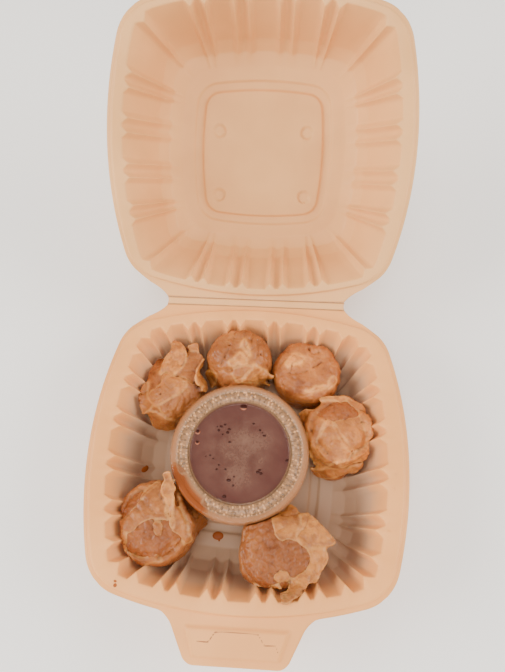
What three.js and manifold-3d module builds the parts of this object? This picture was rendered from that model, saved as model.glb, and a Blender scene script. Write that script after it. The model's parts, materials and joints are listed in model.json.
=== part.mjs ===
// Six siu mai dumplings round a lidded pot of dip, served in a hinged takeaway box.
// The box is one tan plastic moulding: a fluted tray and a fluted lid, joined by a hinge strip with a
// crease on each side, so the lid folds over twice and closes rim on rim. The lid is modelled open.
// Millimetres, +Z up, +X to the right, +Y towards the hinge; the front tab points along -Y.
import * as THREE from 'three';
import { mergeVertices } from 'three/addons/utils/BufferGeometryUtils.js';
import Module from 'manifold-3d';

const wasm = await Module();
wasm.setup();

// ---------------------------------------------------------------- driving dimensions of the box
const SHEET = 0.8; // wall of the moulding
const BOW = 190; // radius of the gentle outward bow that every side of the box has
const FLANGE = [75.3, 73.1]; // half width and half depth over the outer flange
const STEP = 1.8; // height of the raised rim above the flange
const DEPTH = 34.2; // flange plane down to the floor inside
const GROOVE = 1.4; // depth of the square foot groove in the floor
const FLANGE_Z = DEPTH + GROOVE + SHEET; // flange plane above the table
const CREASE = 73.43; // centre of the tray or lid to its own crease
const STRIP = 3.9; // hinge strip, crease to crease
const STRIP_HALF = 46.4; // half length of the hinge strip
const LID_TILT = 39.12; // degrees, lid up from lying flat open
const GAP = 0.3; // clearance between neighbouring pieces

// Flutes: ridges stand in pairs along each side, so each pair frames a narrow arch.
const ARCHES = [10.6, 31]; // arch centres from the middle of a side
const ARCH_HALF = 3.4; // arch centre to the crest of the ridge beside it
const RIDGE_HALF = 2.5; // half width of a ridge at its foot
const STRAIGHT = 24; // flutes further out than this lean in to follow the corners

// Profiles from the flange edge in to the middle of the floor, z from the flange plane.
const TRAY_WALL = { half: 65.4, ridge: 4.0, cornerRidges: [45.7] };
const LID_WALL = { half: 67.6, ridge: 3.0, cornerRidges: [] };

const TAN = 0xd9ae86;
const TAN_LIGHT = 0xdcbc98;

// ---------------------------------------------------------------- mesh and boolean helpers
function solidOf(geometry) {
  const bare = geometry.clone();
  bare.deleteAttribute('normal');
  bare.deleteAttribute('uv');
  const merged = mergeVertices(bare, 1e-3);
  return new wasm.Manifold(new wasm.Mesh({
    numProp: 3,
    vertProperties: new Float32Array(merged.attributes.position.array),
    triVerts: new Uint32Array(merged.index.array),
  }));
}

function geometryOf(solid) {
  const mesh = solid.getMesh();
  const geometry = new THREE.BufferGeometry();
  geometry.setAttribute('position', new THREE.BufferAttribute(new Float32Array(mesh.vertProperties), 3));
  geometry.setIndex(new THREE.BufferAttribute(new Uint32Array(mesh.triVerts), 1));
  geometry.computeVertexNormals();
  return geometry;
}

// Collects loops of points and the faces between them.
class Skin {
  constructor() {
    this.points = [];
    this.faces = [];
  }

  loop(points) {
    const start = this.points.length;
    this.points.push(...points);
    return points.map((_, i) => start + i);
  }

  // Faces between two closed loops that run the same way; equal counts give quads.
  bridge(a, b, flip = false) {
    const add = (p, q, r) => this.faces.push(flip ? [p, r, q] : [p, q, r]);
    if (a.length === b.length) {
      a.forEach((_, i) => {
        const j = (i + 1) % a.length;
        add(a[i], a[j], b[j]);
        add(a[i], b[j], b[i]);
      });
      return;
    }
    const turn = (loop, i) => {
      const [x, y] = this.points[loop[i % loop.length]];
      const [x0, y0] = this.points[loop[0]];
      let angle = Math.atan2(y, x) - Math.atan2(y0, x0);
      if (angle < -1e-6) angle += 2 * Math.PI;
      return i === loop.length ? 2 * Math.PI : angle;
    };
    let i = 0;
    let j = 0;
    while (i < a.length || j < b.length) {
      const stepA = j === b.length || (i < a.length && turn(a, i + 1) <= turn(b, j + 1));
      if (stepA) {
        add(a[i % a.length], a[(i + 1) % a.length], b[j % b.length]);
        i += 1;
      } else {
        add(a[i % a.length], b[(j + 1) % b.length], b[j % b.length]);
        j += 1;
      }
    }
  }

  fan(loop, centre, flip = false) {
    const [c] = this.loop([centre]);
    loop.forEach((p, i) => {
      const q = loop[(i + 1) % loop.length];
      this.faces.push(flip ? [p, c, q] : [p, q, c]);
    });
  }

  geometry() {
    const geometry = new THREE.BufferGeometry();
    geometry.setAttribute('position', new THREE.Float32BufferAttribute(this.points.flat(), 3));
    geometry.setIndex(this.faces.flat());
    geometry.computeVertexNormals();
    return geometry;
  }
}

// A straight plate: a flat outline given a height, standing from z = low to z = high.
function plate(shape, low, high, curveSegments = 6) {
  const geometry = new THREE.ExtrudeGeometry(shape, { depth: high - low, bevelEnabled: false, curveSegments });
  geometry.translate(0, 0, low);
  return solidOf(geometry);
}

// ---------------------------------------------------------------- the box: bowed rounded squares
// Outline with half sizes, sides bowed to BOW and round corners; holds the corner's centre.
function outline(halfX, halfY, corner) {
  const p = BOW - halfX;
  const q = BOW - halfY;
  const d = BOW - corner;
  const m = p / q;
  const n = (p * p - q * q) / (2 * q);
  const b = p + m * n;
  const cx = (-b + Math.sqrt(b * b - (1 + m * m) * (p * p + n * n - d * d))) / (1 + m * m);
  return { half: [halfX, halfY], corner, centre: [cx, m * cx + n] };
}

// Furthest station on one side: where the corner arc reaches its middle.
function reach(shape, side) {
  return shape.centre[(side + 1) % 2] + shape.corner / Math.SQRT2;
}

// Point on the outline at station s along a side, moved inwards by inset.
function edgePoint(shape, side, s, inset, z) {
  const half = shape.half[side % 2];
  const along = shape.centre[(side + 1) % 2];
  const up = shape.centre[side % 2];
  const a = Math.abs(s);
  const tangent = BOW * Math.sin(Math.atan2(along, up + BOW - half));
  const sine = a <= tangent ? a / BOW : Math.min(1, (a - along) / shape.corner);
  const cosine = Math.sqrt(1 - sine * sine);
  const out = (a <= tangent ? half - BOW + BOW * cosine : up + shape.corner * cosine) - inset * cosine;
  const t = Math.sign(s) * (a - inset * sine);
  return [[out, t, z], [-t, out, z], [-out, -t, z], [t, -out, z]][side];
}

const PLAIN_STATIONS = [-1, -0.94, -0.865, -0.785, -0.4, 0, 0.4, 0.785, 0.865, 0.94];
// The foot's sides are straight, so that the box stands firmly on the few corners between them.
const FOOT_STATIONS = [-1, -0.76, 0.76];

function plainLoop(level) {
  const shape = outline(level.halfX, level.halfY, level.corner);
  const stations = level.foot ? FOOT_STATIONS : PLAIN_STATIONS;
  return [0, 1, 2, 3].flatMap((side) => stations.map(
    (f) => edgePoint(shape, side, f * reach(shape, side), 0, level.z)));
}

// Stations of the ridges along one side, from the diagonal at -reach up to the next diagonal.
function ridgeStations(wall) {
  const edge = reach(outline(wall.half, wall.half, 14), 0);
  const crests = [...wall.cornerRidges];
  ARCHES.forEach((c) => crests.push(c - ARCH_HALF, c + ARCH_HALF));
  const right = crests.flatMap((c) => [[c - RIDGE_HALF, 0], [c, 1], [c + RIDGE_HALF, 0]]);
  right.push([edge - 0.72 * RIDGE_HALF, 0], [edge - 2.2 * RIDGE_HALF, 0]);
  right.sort((a, b) => a[0] - b[0]);
  const left = right.map(([s, crest]) => [-s, crest]).reverse();
  return { edge, list: [[-edge, 1], ...left, ...right] };
}

function flutedLoop(level, stations) {
  const shape = outline(level.halfX, level.halfY, level.corner);
  const squeeze = (reach(shape, 0) - STRAIGHT) / (stations.edge - STRAIGHT);
  return [0, 1, 2, 3].flatMap((side) => stations.list.map(([s, crest]) => {
    const a = Math.abs(s);
    const moved = a < STRAIGHT ? a : STRAIGHT + (a - STRAIGHT) * squeeze;
    return edgePoint(shape, side, Math.sign(s) * moved, crest * level.ridge, level.z);
  }));
}

const levelLoop = (level, stations) => (level.ridge === undefined ? plainLoop(level) : flutedLoop(level, stations));

// Levels of the upper face, from the flange's edge to the panel inside the foot groove.
function boxLevels(wall) {
  const square = (half, z, corner, more = {}) => ({ halfX: half, halfY: half, z, corner, ...more });
  return [
    { halfX: FLANGE[0], halfY: FLANGE[1], z: 0, corner: 21.5 },
    { halfX: FLANGE[0] - 2, halfY: FLANGE[1] - 2, z: 0, corner: 19.6 },
    { halfX: FLANGE[0] - 2.6, halfY: FLANGE[1] - 2.6, z: STEP, corner: 19 },
    square(wall.half, STEP - 0.2, 14, { ridge: wall.ridge }),
    square(55.6, -25.5, 14, { ridge: wall.ridge * 0.75 }),
    square(50.8, -31.6, 15, { ridge: wall.ridge * 0.45 }),
    square(44.3, -DEPTH, 16),
    square(37.7, -DEPTH, 12.5),
    square(36.7, -DEPTH - GROOVE, 11.5, { foot: true }),
    square(33.0, -DEPTH - GROOVE, 8.8, { foot: true }),
    square(32.2, -DEPTH, 8),
  ];
}

// The same levels moved one sheet thickness out and down, with mitred corners.
function underside(levels) {
  const normal = (a, b) => {
    const da = b.halfX - a.halfX;
    const dz = b.z - a.z;
    const length = Math.hypot(da, dz);
    return [-dz / length, da / length];
  };
  return levels.map((level, i) => {
    const before = normal(levels[Math.max(0, i - 1)], levels[Math.max(1, i)]);
    const last = levels.length - 1;
    const after = i < last ? normal(level, levels[i + 1]) : [0, -1];
    const sum = [before[0] + after[0], before[1] + after[1]];
    const scale = SHEET / ((sum[0] * before[0] + sum[1] * before[1]));
    const out = sum[0] * scale;
    return {
      ...level,
      halfX: level.halfX + out,
      halfY: level.halfY + out,
      corner: level.corner + out,
      z: level.z + sum[1] * scale,
    };
  });
}

function boxShell(wall) {
  const stations = ridgeStations(wall);
  const skin = new Skin();
  const loops = (levels) => levels.map((level) => skin.loop(levelLoop(level, stations)));
  const levels = boxLevels(wall);
  const top = loops(levels);
  const bottom = loops(underside(levels));
  for (let i = 1; i < top.length; i += 1) {
    skin.bridge(top[i - 1], top[i]);
    skin.bridge(bottom[i - 1], bottom[i], true);
  }
  skin.bridge(bottom[0], top[0]);
  skin.fan(top.at(-1), [0, 0, -DEPTH]);
  skin.fan(bottom.at(-1), [0, 0, -DEPTH - SHEET], true);
  return solidOf(skin.geometry());
}

// Web between the flange and the crease; it sweeps in from the corners in a hollow curve.
function hingeWeb() {
  const edge = CREASE - GAP / 2;
  const middle = (x) => FLANGE[1] - 1.1 - (x * x) / (2 * BOW);
  const shape = new THREE.Shape();
  shape.moveTo(-STRIP_HALF, edge);
  for (let x = -56; x <= 56; x += 14) shape.lineTo(x, middle(x));
  shape.lineTo(57.5, 64.9);
  shape.quadraticCurveTo(48.8, 69.0, STRIP_HALF, edge);
  shape.lineTo(-STRIP_HALF, edge);
  const left = new THREE.Shape();
  left.moveTo(-STRIP_HALF, edge);
  left.quadraticCurveTo(-48.8, 69.0, -57.5, 64.9);
  left.lineTo(-56, middle(-56));
  left.lineTo(-42, middle(-42));
  left.lineTo(-STRIP_HALF, edge);
  return plate(shape, -SHEET, 0).add(plate(left, -SHEET, 0));
}

// Closing tab: a trapezoid with a raised panel, on the middle of the front flange.
const TAB = { root: 32.5, shoulder: 28.8, tip: 20.8, end: 89.5, round: 2.6 };
const PANEL = { root: 22.1, tip: 18, near: 75.4, far: 86.7, rise: 1.2 };

function tabOutline() {
  const shape = new THREE.Shape();
  const inside = FLANGE[1] - 1.1;
  shape.moveTo(-TAB.root, -(inside - 2.6));
  shape.quadraticCurveTo(-TAB.shoulder - 0.8, -(FLANGE[1] - 1.4), -TAB.shoulder + 0.6, -(FLANGE[1] + 2.4));
  shape.lineTo(-TAB.tip - 1.2, -(TAB.end - TAB.round));
  shape.quadraticCurveTo(-TAB.tip, -TAB.end, -TAB.tip + TAB.round, -TAB.end);
  shape.lineTo(TAB.tip - TAB.round, -TAB.end);
  shape.quadraticCurveTo(TAB.tip, -TAB.end, TAB.tip + 1.2, -(TAB.end - TAB.round));
  shape.lineTo(TAB.shoulder - 0.6, -(FLANGE[1] + 2.4));
  shape.quadraticCurveTo(TAB.shoulder + 0.8, -(FLANGE[1] - 1.4), TAB.root, -(inside - 2.6));
  shape.lineTo(14, -inside);
  shape.lineTo(-14, -inside);
  return shape;
}

function panelOutline(inset) {
  const shape = new THREE.Shape();
  shape.moveTo(-PANEL.root + inset, -PANEL.near - inset);
  shape.lineTo(-PANEL.tip + inset, -PANEL.far + inset);
  shape.lineTo(PANEL.tip - inset, -PANEL.far + inset);
  shape.lineTo(PANEL.root - inset, -PANEL.near - inset);
  return shape;
}

function tab() {
  return plate(tabOutline(), -SHEET, 0)
    .add(plate(panelOutline(0), -SHEET / 2, PANEL.rise))
    .subtract(plate(panelOutline(SHEET), -SHEET - 1, PANEL.rise - SHEET));
}

// Slit in the tray's tab that the lid hooks into: a shallow bracket shape, cut through the panel.
const SLIT = { half: 16.4, knee: 11.6, flat: 8.8, near: 76.9, far: 80.8, width: 0.7 };

function slit() {
  const path = [[-SLIT.half, SLIT.far], [-SLIT.knee, SLIT.far], [-SLIT.flat, SLIT.near],
    [SLIT.flat, SLIT.near], [SLIT.knee, SLIT.far], [SLIT.half, SLIT.far]];
  const shape = new THREE.Shape();
  path.forEach(([x, y], i) => (i ? shape.lineTo(x, -y) : shape.moveTo(x, -y)));
  [...path].reverse().forEach(([x, y]) => shape.lineTo(x * 0.985, -y - SLIT.width));
  return plate(shape, -2, 3);
}

const trayBody = boxShell(TRAY_WALL).add(hingeWeb()).add(tab()).subtract(slit());

// The lid's panel has four round dimples, set a little towards the hinge.
const DIMPLE = { x: 23.6, y: 16.8, shift: -5, radius: 3.4, depth: 1 };

function lidBody() {
  let body = boxShell(LID_WALL).add(hingeWeb()).add(tab());
  [-1, 1].forEach((sx) => [-1, 1].forEach((sy) => {
    const disc = (radius, top, height) => {
      const cylinder = new THREE.CylinderGeometry(radius, radius, height, 12);
      cylinder.rotateX(Math.PI / 2);
      cylinder.translate(sx * DIMPLE.x, sy * DIMPLE.y - DIMPLE.shift, -DEPTH + top - height / 2);
      return solidOf(cylinder);
    };
    body = body.add(disc(DIMPLE.radius + SHEET * 0.7, -0.3, DIMPLE.depth + SHEET * 0.6))
      .subtract(disc(DIMPLE.radius, 2, 2 + DIMPLE.depth));
  }));
  return body;
}

// Hinge strip between the two creases, a little thinner than the sheet.
function stripBody() {
  const shape = new THREE.Shape();
  const low = GAP / 2;
  const high = STRIP - GAP / 2;
  shape.moveTo(-STRIP_HALF, low);
  shape.lineTo(STRIP_HALF, low);
  shape.quadraticCurveTo(STRIP_HALF - 0.9, STRIP / 2, STRIP_HALF, high);
  shape.lineTo(-STRIP_HALF, high);
  shape.quadraticCurveTo(-STRIP_HALF + 0.9, STRIP / 2, -STRIP_HALF, low);
  return plate(shape, -SHEET, -0.2, 4);
}

// ---------------------------------------------------------------- the pot of dip
const POT_AT = [-3.7, -1.6]; // pot's axis from the middle of the tray
const POT = { foot: 22.3, mouth: 30.2, height: 31.0, wall: 0.6, rim: 31.8 };
const POT_LID = { radius: 33.1, skirt: 27.2, top: 32.8, recess: 24, disc: 30.0, sheet: 0.6 };
const DIP_LEVEL = 27;
const POT_SEGMENTS = 24;

function turned(points, segments = POT_SEGMENTS) {
  const geometry = new THREE.LatheGeometry(points.map(([r, z]) => new THREE.Vector2(r, z)), segments);
  geometry.rotateX(Math.PI / 2);
  return solidOf(geometry);
}

const potRadius = (z) => POT.foot + ((POT.mouth - POT.foot) * z) / POT.height;

function potBody() {
  const { wall, height } = POT;
  return turned([
    [0, 0.6], [POT.foot - 2, 0.6], [POT.foot - 1.6, 0], [POT.foot, 0], [POT.mouth, height - 2.2],
    [POT.mouth + 0.2, height - wall], [POT.rim, height - wall], [POT.rim, height],
    [POT.mouth - wall, height], [POT.mouth - wall - 0.2, height - 2.2], [POT.foot - wall, wall + 0.7],
    [0, wall + 0.7],
  ]);
}

function potLidBody() {
  const { radius, skirt, top, recess, disc, sheet } = POT_LID;
  return turned([
    [0, disc - sheet], [recess, disc - sheet], [recess + 0.5, top - 0.9 - sheet],
    [POT.mouth - 0.3, top - 0.9 - sheet], [POT.mouth + 0.3, top - 0.2 - sheet],
    [radius - 1.1, top - sheet], [radius - 0.3 - sheet, top - 1.4], [radius - sheet, skirt], [radius, skirt],
    [radius - 0.3, top - 0.8], [radius - 1, top], [POT.mouth, top - 0.2], [POT.mouth - 0.6, top - 0.9],
    [recess, top - 0.9], [recess - 0.6, disc], [0, disc],
  ]);
}

function dipBody() {
  const inner = (z) => potRadius(z) - POT.wall - GAP;
  const low = POT.wall + 0.7 + GAP;
  return turned([[0, low], [inner(low) - 0.5, low], [inner(low + 2), low + 2],
    [inner(DIP_LEVEL), DIP_LEVEL], [0, DIP_LEVEL]]);
}

// Space kept clear round the pot, so that what leans on it stops short of it.
function potKeepOut() {
  return turned([[0, -1], [POT.foot + GAP, -1], [POT.mouth + GAP, POT_LID.skirt - GAP],
    [POT_LID.radius + GAP, POT_LID.skirt - GAP], [POT_LID.radius + GAP, POT_LID.top + GAP],
    [0, POT_LID.top + GAP]], 24).translate([POT_AT[0], POT_AT[1], GAP]);
}

// ---------------------------------------------------------------- the dumplings
// Lengths from the middle of the tray's floor, heights above that floor.
// A pouch has its axis at `at`, half widths `size`, and leans by `lean` at its top.
// A flap is a sheet of wrapper: spine points [x, y, height], its width at each, and its roll
// (0 lies flat, 90 stands on edge). `filling` is the share of the top where the meat shows.
const WRAPPER = 1.8; // thickness of a flap that stands up
const FOLD = 4.5; // thickness of a flap that lies on the food, with the folds beneath it
const DUMPLINGS = [
  {
    at: [-42.3, 31.5], size: [16.6, 17.5], height: 23, lean: [-0.8, 0.5], lobes: [[3, 0.4, 0.05], [5, 1.1, 0.03]],
    flaps: [
      { spine: [[-40, 33, 19], [-40.3, 45.4, 26.5], [-42.1, 55.2, 25.5]], width: [8, 12, 5], roll: 0 },
      { spine: [[-24.6, 47, 22], [-28.3, 39, 22], [-27.3, 32.9, 21], [-24.4, 29, 19]], width: [8, 9, 9, 6], roll: 80 },
      { spine: [[-29, 35.1, 20.5], [-40.4, 29.3, 24.6], [-50.2, 22, 24]], width: [9, 14, 8], roll: 0 },
      { spine: [[-45, 31, 17], [-53.5, 22.7, 23], [-57.2, 19.9, 24]], width: [12, 14, 9], roll: -15 },
      { spine: [[-43.7, 23, 17], [-44.7, 15, 18], [-44.7, 10.8, 13]], width: [14, 16, 12], roll: 0 },
    ],
  },
  {
    at: [-7, 45.2], size: [17.2, 16.8], height: 34, lean: [0, 1.5], lobes: [[4, 0.2, 0.04], [7, 2.0, 0.02]],
    flaps: [
      { spine: [[-6, 38, 20], [2.9, 39.5, 27], [8.8, 38.6, 25]], width: [8, 13, 9], roll: 12 },
      { spine: [[-4.9, 46.4, 32], [-4, 50.2, 34], [-4.3, 54.6, 32.5]], width: [3, 5, 3], roll: 60 },
      { spine: [[-6.4, 41.5, 29.5], [-5.9, 46.3, 34]], width: [6, 6], roll: 0 },
    ],
  },
  {
    at: [28.6, 42.4], size: [17.4, 16.6], height: 26, lean: [0.3, -0.4], lobes: [[3, 2.2, 0.035], [6, 0.6, 0.02]],
    flaps: [
      { spine: [[17, 45, 22], [22.7, 48.2, 26], [27.5, 47, 24]], width: [5, 6, 4], roll: 15 },
      { spine: [[33, 35.5, 16], [38.2, 35.6, 21.5], [43.2, 39, 20]], width: [6, 9, 6], roll: 20 },
    ],
  },
  {
    at: [43.4, 12.2], size: [16.8, 17.2], height: 24, lean: [0.8, 0.3], lobes: [[4, 0.9, 0.04], [3, 2.4, 0.03]],
    filling: 0.74,
    flaps: [
      { spine: [[38.9, -4.6, 14], [38.4, 5, 24.4], [39.2, 16.9, 28]], width: [19, 14, 1.5], roll: -8 },
      { spine: [[50.4, -1.5, 15], [51, 7.9, 24.6], [47.8, 17.6, 28]], width: [14, 15, 12], roll: 6 },
      { spine: [[47, 0.5, 19], [54, -0.3, 22.6], [59, 1.8, 22.4]], width: [9, 9, 6], roll: 0 },
      { spine: [[50, 15.8, 20], [56.5, 15.2, 25.8], [60.5, 14.9, 26.4]], width: [17, 19, 10], roll: 8 },
      { spine: [[34, 2.6, 17], [31.6, 11.1, 24], [29.8, 19.1, 25]], width: [8, 13, 9], roll: -25 },
    ],
  },
  {
    at: [-41, -34.8], size: [18.4, 18], height: 26, lean: [-0.6, 0.2], lobes: [[3, 1.4, 0.04], [5, 0.3, 0.03]],
    filling: 0.66,
    flaps: [
      { spine: [[-36.4, -14.6, 31], [-36.4, -20.6, 31.5], [-34.8, -26.2, 30.5], [-32.6, -32, 27], [-30.4, -38, 24]],
        width: [9, 12, 13, 12, 8], roll: 82 },
      { spine: [[-33.6, -26, 26.5], [-30.3, -34.5, 26.5], [-27.4, -41.9, 22]], width: [9, 13, 9], roll: 12 },
      { spine: [[-43, -44, 19], [-42, -49.3, 24], [-41.8, -52.6, 20.5]], width: [13, 13, 10], roll: 0 },
      { spine: [[-44, -30, 21], [-46.3, -24.3, 26.5], [-43.8, -19.8, 25.5]], width: [9, 10, 6], roll: 10 },
      { spine: [[-52.4, -39.8, 23], [-53.4, -44.7, 23], [-51.7, -48.4, 21]], width: [7, 8, 6], roll: 85 },
    ],
  },
  {
    at: [17.2, -43.2], size: [17, 17.6], height: 25, lean: [0.4, -0.6], lobes: [[4, 2.6, 0.035], [5, 1.2, 0.03]],
    filling: 0.78,
    flaps: [
      { spine: [[16.5, -31.2, 20], [27, -35.7, 27.5], [39.2, -40, 28.5]], width: [15, 17, 5], roll: 10 },
      { spine: [[30, -42, 22], [34, -49.4, 27.6], [27.2, -56.4, 28.4], [20.2, -60, 29.4]], width: [14, 13, 9.5, 6], roll: 4 },
      { spine: [[6.4, -58, 21], [12.3, -58.9, 22.5], [17.6, -58.6, 22]], width: [5, 7, 5], roll: 20 },
    ],
  },
];
const NEIGHBOURS = [[0, 1], [1, 2], [2, 3]]; // pairs that press on each other

// Rings of a pouch: share of the half width, share of the height.
const CLOSED_TOP = { sides: 18, rings: [[0.72, 0], [0.88, 0.16], [1, 0.5], [0.99, 0.72], [0.8, 0.91], [0.42, 1]] };
const OPEN_TOP = { sides: 18, rings: [[0.72, 0], [0.88, 0.16], [1, 0.52], [1.01, 0.8], [0.95, 1], [0.84, 1]] };
const MEAT = { sides: 12, rings: [[0.6, 0.12], [1, 0.5], [1, 0.84], [0.74, 1], [0.4, 1.05]] };

function pouch(piece, { sides, rings }, grow = 0, share = 1) {
  const skin = new Skin();
  const { at, size, height, lean, lobes } = piece;
  const place = (r, phi, level) => {
    const lobe = lobes.reduce((sum, [n, phase, depth]) => sum + depth * Math.cos(n * phi + phase), 1);
    const wave = 1 + (lobe - 1) * Math.min(1, 0.3 + level);
    return [
      at[0] + lean[0] * level + (size[0] * share * r * wave + grow) * Math.cos(phi),
      at[1] + lean[1] * level + (size[1] * share * r * wave + grow) * Math.sin(phi),
    ];
  };
  const loops = rings.map(([r, level]) => skin.loop(Array.from({ length: sides }, (_, i) => {
    const end = level > 0.5 ? grow : -grow;
    return [...place(r, (2 * Math.PI * i) / sides, level), GAP + level * (height - GAP) + end];
  })));
  for (let i = 1; i < loops.length; i += 1) skin.bridge(loops[i - 1], loops[i]);
  const [first, last] = [rings[0], rings.at(-1)];
  const centre = ([, level], end) => [
    at[0] + lean[0] * level,
    at[1] + lean[1] * level,
    GAP + level * (height - GAP) + end,
  ];
  skin.fan(loops[0], centre(first, -grow), true);
  skin.fan(loops.at(-1), centre(last, grow));
  return solidOf(skin.geometry());
}

// A sheet of wrapper along a spine, crowned across its width; grow makes it bigger all round.
function flap({ spine, width, roll }, grow = 0) {
  const curve = new THREE.CatmullRomCurve3(spine.map((p) => new THREE.Vector3(...p)));
  const steps = spine.length;
  const tilt = THREE.MathUtils.degToRad(roll);
  const up = new THREE.Vector3(0, 0, 1);
  const rows = Array.from({ length: steps }, (_, i) => {
    const f = i / (steps - 1);
    const tangent = curve.getTangent(f);
    const side = new THREE.Vector3().crossVectors(tangent, up).normalize().applyAxisAngle(tangent, tilt);
    const normal = new THREE.Vector3().crossVectors(side, tangent).normalize();
    const k = Math.min(f * (width.length - 1), width.length - 1.001);
    const half = THREE.MathUtils.lerp(width[Math.floor(k)], width[Math.floor(k) + 1], k % 1) / 2;
    return { point: curve.getPoint(f), side, normal, half };
  });
  const skin = new Skin();
  const high = 0.9 + grow;
  const low = 0.9 - (Math.abs(roll) > 45 ? WRAPPER : FOLD) - grow;
  const section = ({ point, side, normal, half }) => {
    const corner = (a, n) => point.clone().addScaledVector(side, a * (half + grow))
      .addScaledVector(normal, n).toArray();
    return [corner(-0.8, low), corner(0, low - 0.4), corner(0.8, low),
      corner(1, high - 0.5), corner(0, high), corner(-1, high - 0.5)];
  };
  const loops = rows.map((row) => skin.loop(section(row)));
  for (let i = 1; i < loops.length; i += 1) skin.bridge(loops[i - 1], loops[i], true);
  skin.fan(loops[0], rows[0].point.toArray());
  skin.fan(loops.at(-1), rows.at(-1).point.toArray(), true);
  return solidOf(skin.geometry());
}

// Room inside the tray's fluted walls, with a little clearance.
function trayRoom() {
  const clear = 3 * GAP;
  const stations = ridgeStations(TRAY_WALL);
  const skin = new Skin();
  const room = boxLevels(TRAY_WALL).slice(3, 7).map((level) => ({
    ...level,
    halfX: level.halfX - clear,
    halfY: level.halfY - clear,
    z: level.z + DEPTH + (level.ridge ? 0 : GAP),
  }));
  const steep = (room[0].halfX - room[1].halfX) / (room[0].z - room[1].z);
  const above = 10;
  const wider = room[0].halfX + steep * above;
  room.unshift({ ...room[0], halfX: wider, halfY: wider, z: room[0].z + above });
  const loops = room.map((level) => skin.loop(levelLoop(level, stations)));
  for (let i = 1; i < loops.length; i += 1) skin.bridge(loops[i - 1], loops[i], true);
  skin.fan(loops[0], [0, 0, room[0].z]);
  skin.fan(loops.at(-1), [0, 0, room.at(-1).z], true);
  return solidOf(skin.geometry());
}

// Half space beyond the line between two neighbours, as a large block.
function beyond(piece, other) {
  const from = new THREE.Vector2(...piece.at);
  const to = new THREE.Vector2(...other.at);
  const across = to.clone().sub(from);
  const share = (piece.size[0] + piece.size[1]) / (piece.size[0] + piece.size[1] + other.size[0] + other.size[1]);
  const middle = from.clone().addScaledVector(across, share);
  const size = 60;
  const block = new THREE.BoxGeometry(size, size, size);
  block.translate(size / 2 + GAP / 2, 0, size / 2 - 5);
  block.rotateZ(across.angle());
  block.translate(middle.x, middle.y, 0);
  return solidOf(block);
}

const room = trayRoom();
const keepOut = potKeepOut();

// One solid piece of food: its outer surface alone, without crumbs beside it or pockets sealed inside.
function whole(solid) {
  const outer = (parts) => parts.decompose().sort((a, b) => b.volume() - a.volume())[0];
  return outer(solidOf(geometryOf(outer(solid).simplify(0.12))));
}

function wrapperBody(piece, index) {
  let body = pouch(piece, piece.filling ? OPEN_TOP : CLOSED_TOP);
  if (piece.filling) body = body.subtract(pouch(piece, MEAT, 1.5 * GAP, piece.filling));
  piece.flaps.forEach((sheet) => { body = body.add(flap(sheet)); });
  NEIGHBOURS.filter((pair) => pair.includes(index)).forEach(([a, b]) => {
    body = body.subtract(beyond(piece, DUMPLINGS[a === index ? b : a]));
  });
  return whole(body.intersect(room).subtract(keepOut));
}

function fillingBody(piece) {
  let body = pouch(piece, MEAT, 0, piece.filling);
  piece.flaps.forEach((sheet) => { body = body.subtract(flap(sheet, 1.5 * GAP)); });
  return whole(body.intersect(room).subtract(keepOut));
}

// ---------------------------------------------------------------- assembly
function mesh(name, solid, color, roughness) {
  const material = new THREE.MeshStandardMaterial({ color, roughness, metalness: 0 });
  const piece = new THREE.Mesh(geometryOf(solid), material);
  piece.name = name;
  return piece;
}

const tray = new THREE.Group();
tray.position.z = FLANGE_Z;
tray.add(mesh('base_tray', trayBody, TAN, 0.5));

const strip = new THREE.Group();
strip.position.set(0, CREASE, 0);
strip.rotation.x = THREE.MathUtils.degToRad(LID_TILT / 2);
strip.add(mesh('hinge_strip', stripBody(), TAN, 0.5));
tray.add(strip);

// The lid is a tray turned end for end, so its own web meets the far crease.
const lid = new THREE.Group();
lid.position.set(0, STRIP, 0);
lid.rotation.x = THREE.MathUtils.degToRad(LID_TILT / 2);
const lidMesh = mesh('lid', lidBody(), TAN_LIGHT, 0.5);
lidMesh.rotation.z = Math.PI;
lidMesh.position.y = CREASE;
lid.add(lidMesh);
strip.add(lid);

const contents = new THREE.Group();
contents.position.z = FLANGE_Z - DEPTH;
const pot = new THREE.Group();
pot.position.set(...POT_AT, GAP);
pot.add(mesh('dip_pot', potBody(), 0xe6dccb, 0.15));
pot.add(mesh('dip_sauce', dipBody(), 0x5a3322, 0.25));
pot.add(mesh('pot_lid', potLidBody(), 0xe2d6c4, 0.15));
contents.add(pot);
const DOUGH = [0xd8a878, 0xcf9c6e, 0xd3a276, 0xd9a672, 0xcb9263, 0xd49c66];
DUMPLINGS.forEach((piece, i) => {
  contents.add(mesh(`siu_mai_${i + 1}`, wrapperBody(piece, i), DOUGH[i], 0.45));
  if (piece.filling) contents.add(mesh(`filling_${i + 1}`, fillingBody(piece), 0xa8693f, 0.5));
});

// The origin is on the table, under the middle of the open box's bounding box.
const group = new THREE.Group();
group.add(tray, contents);
const box = new THREE.Box3().setFromObject(group, true);
group.position.set(0, -(box.min.y + box.max.y) / 2, 0);

export default group;
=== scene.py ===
import json
import math
import random

import bmesh
import bpy
from mathutils import Matrix, Vector, kdtree, noise
from mathutils.bvhtree import BVHTree


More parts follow.
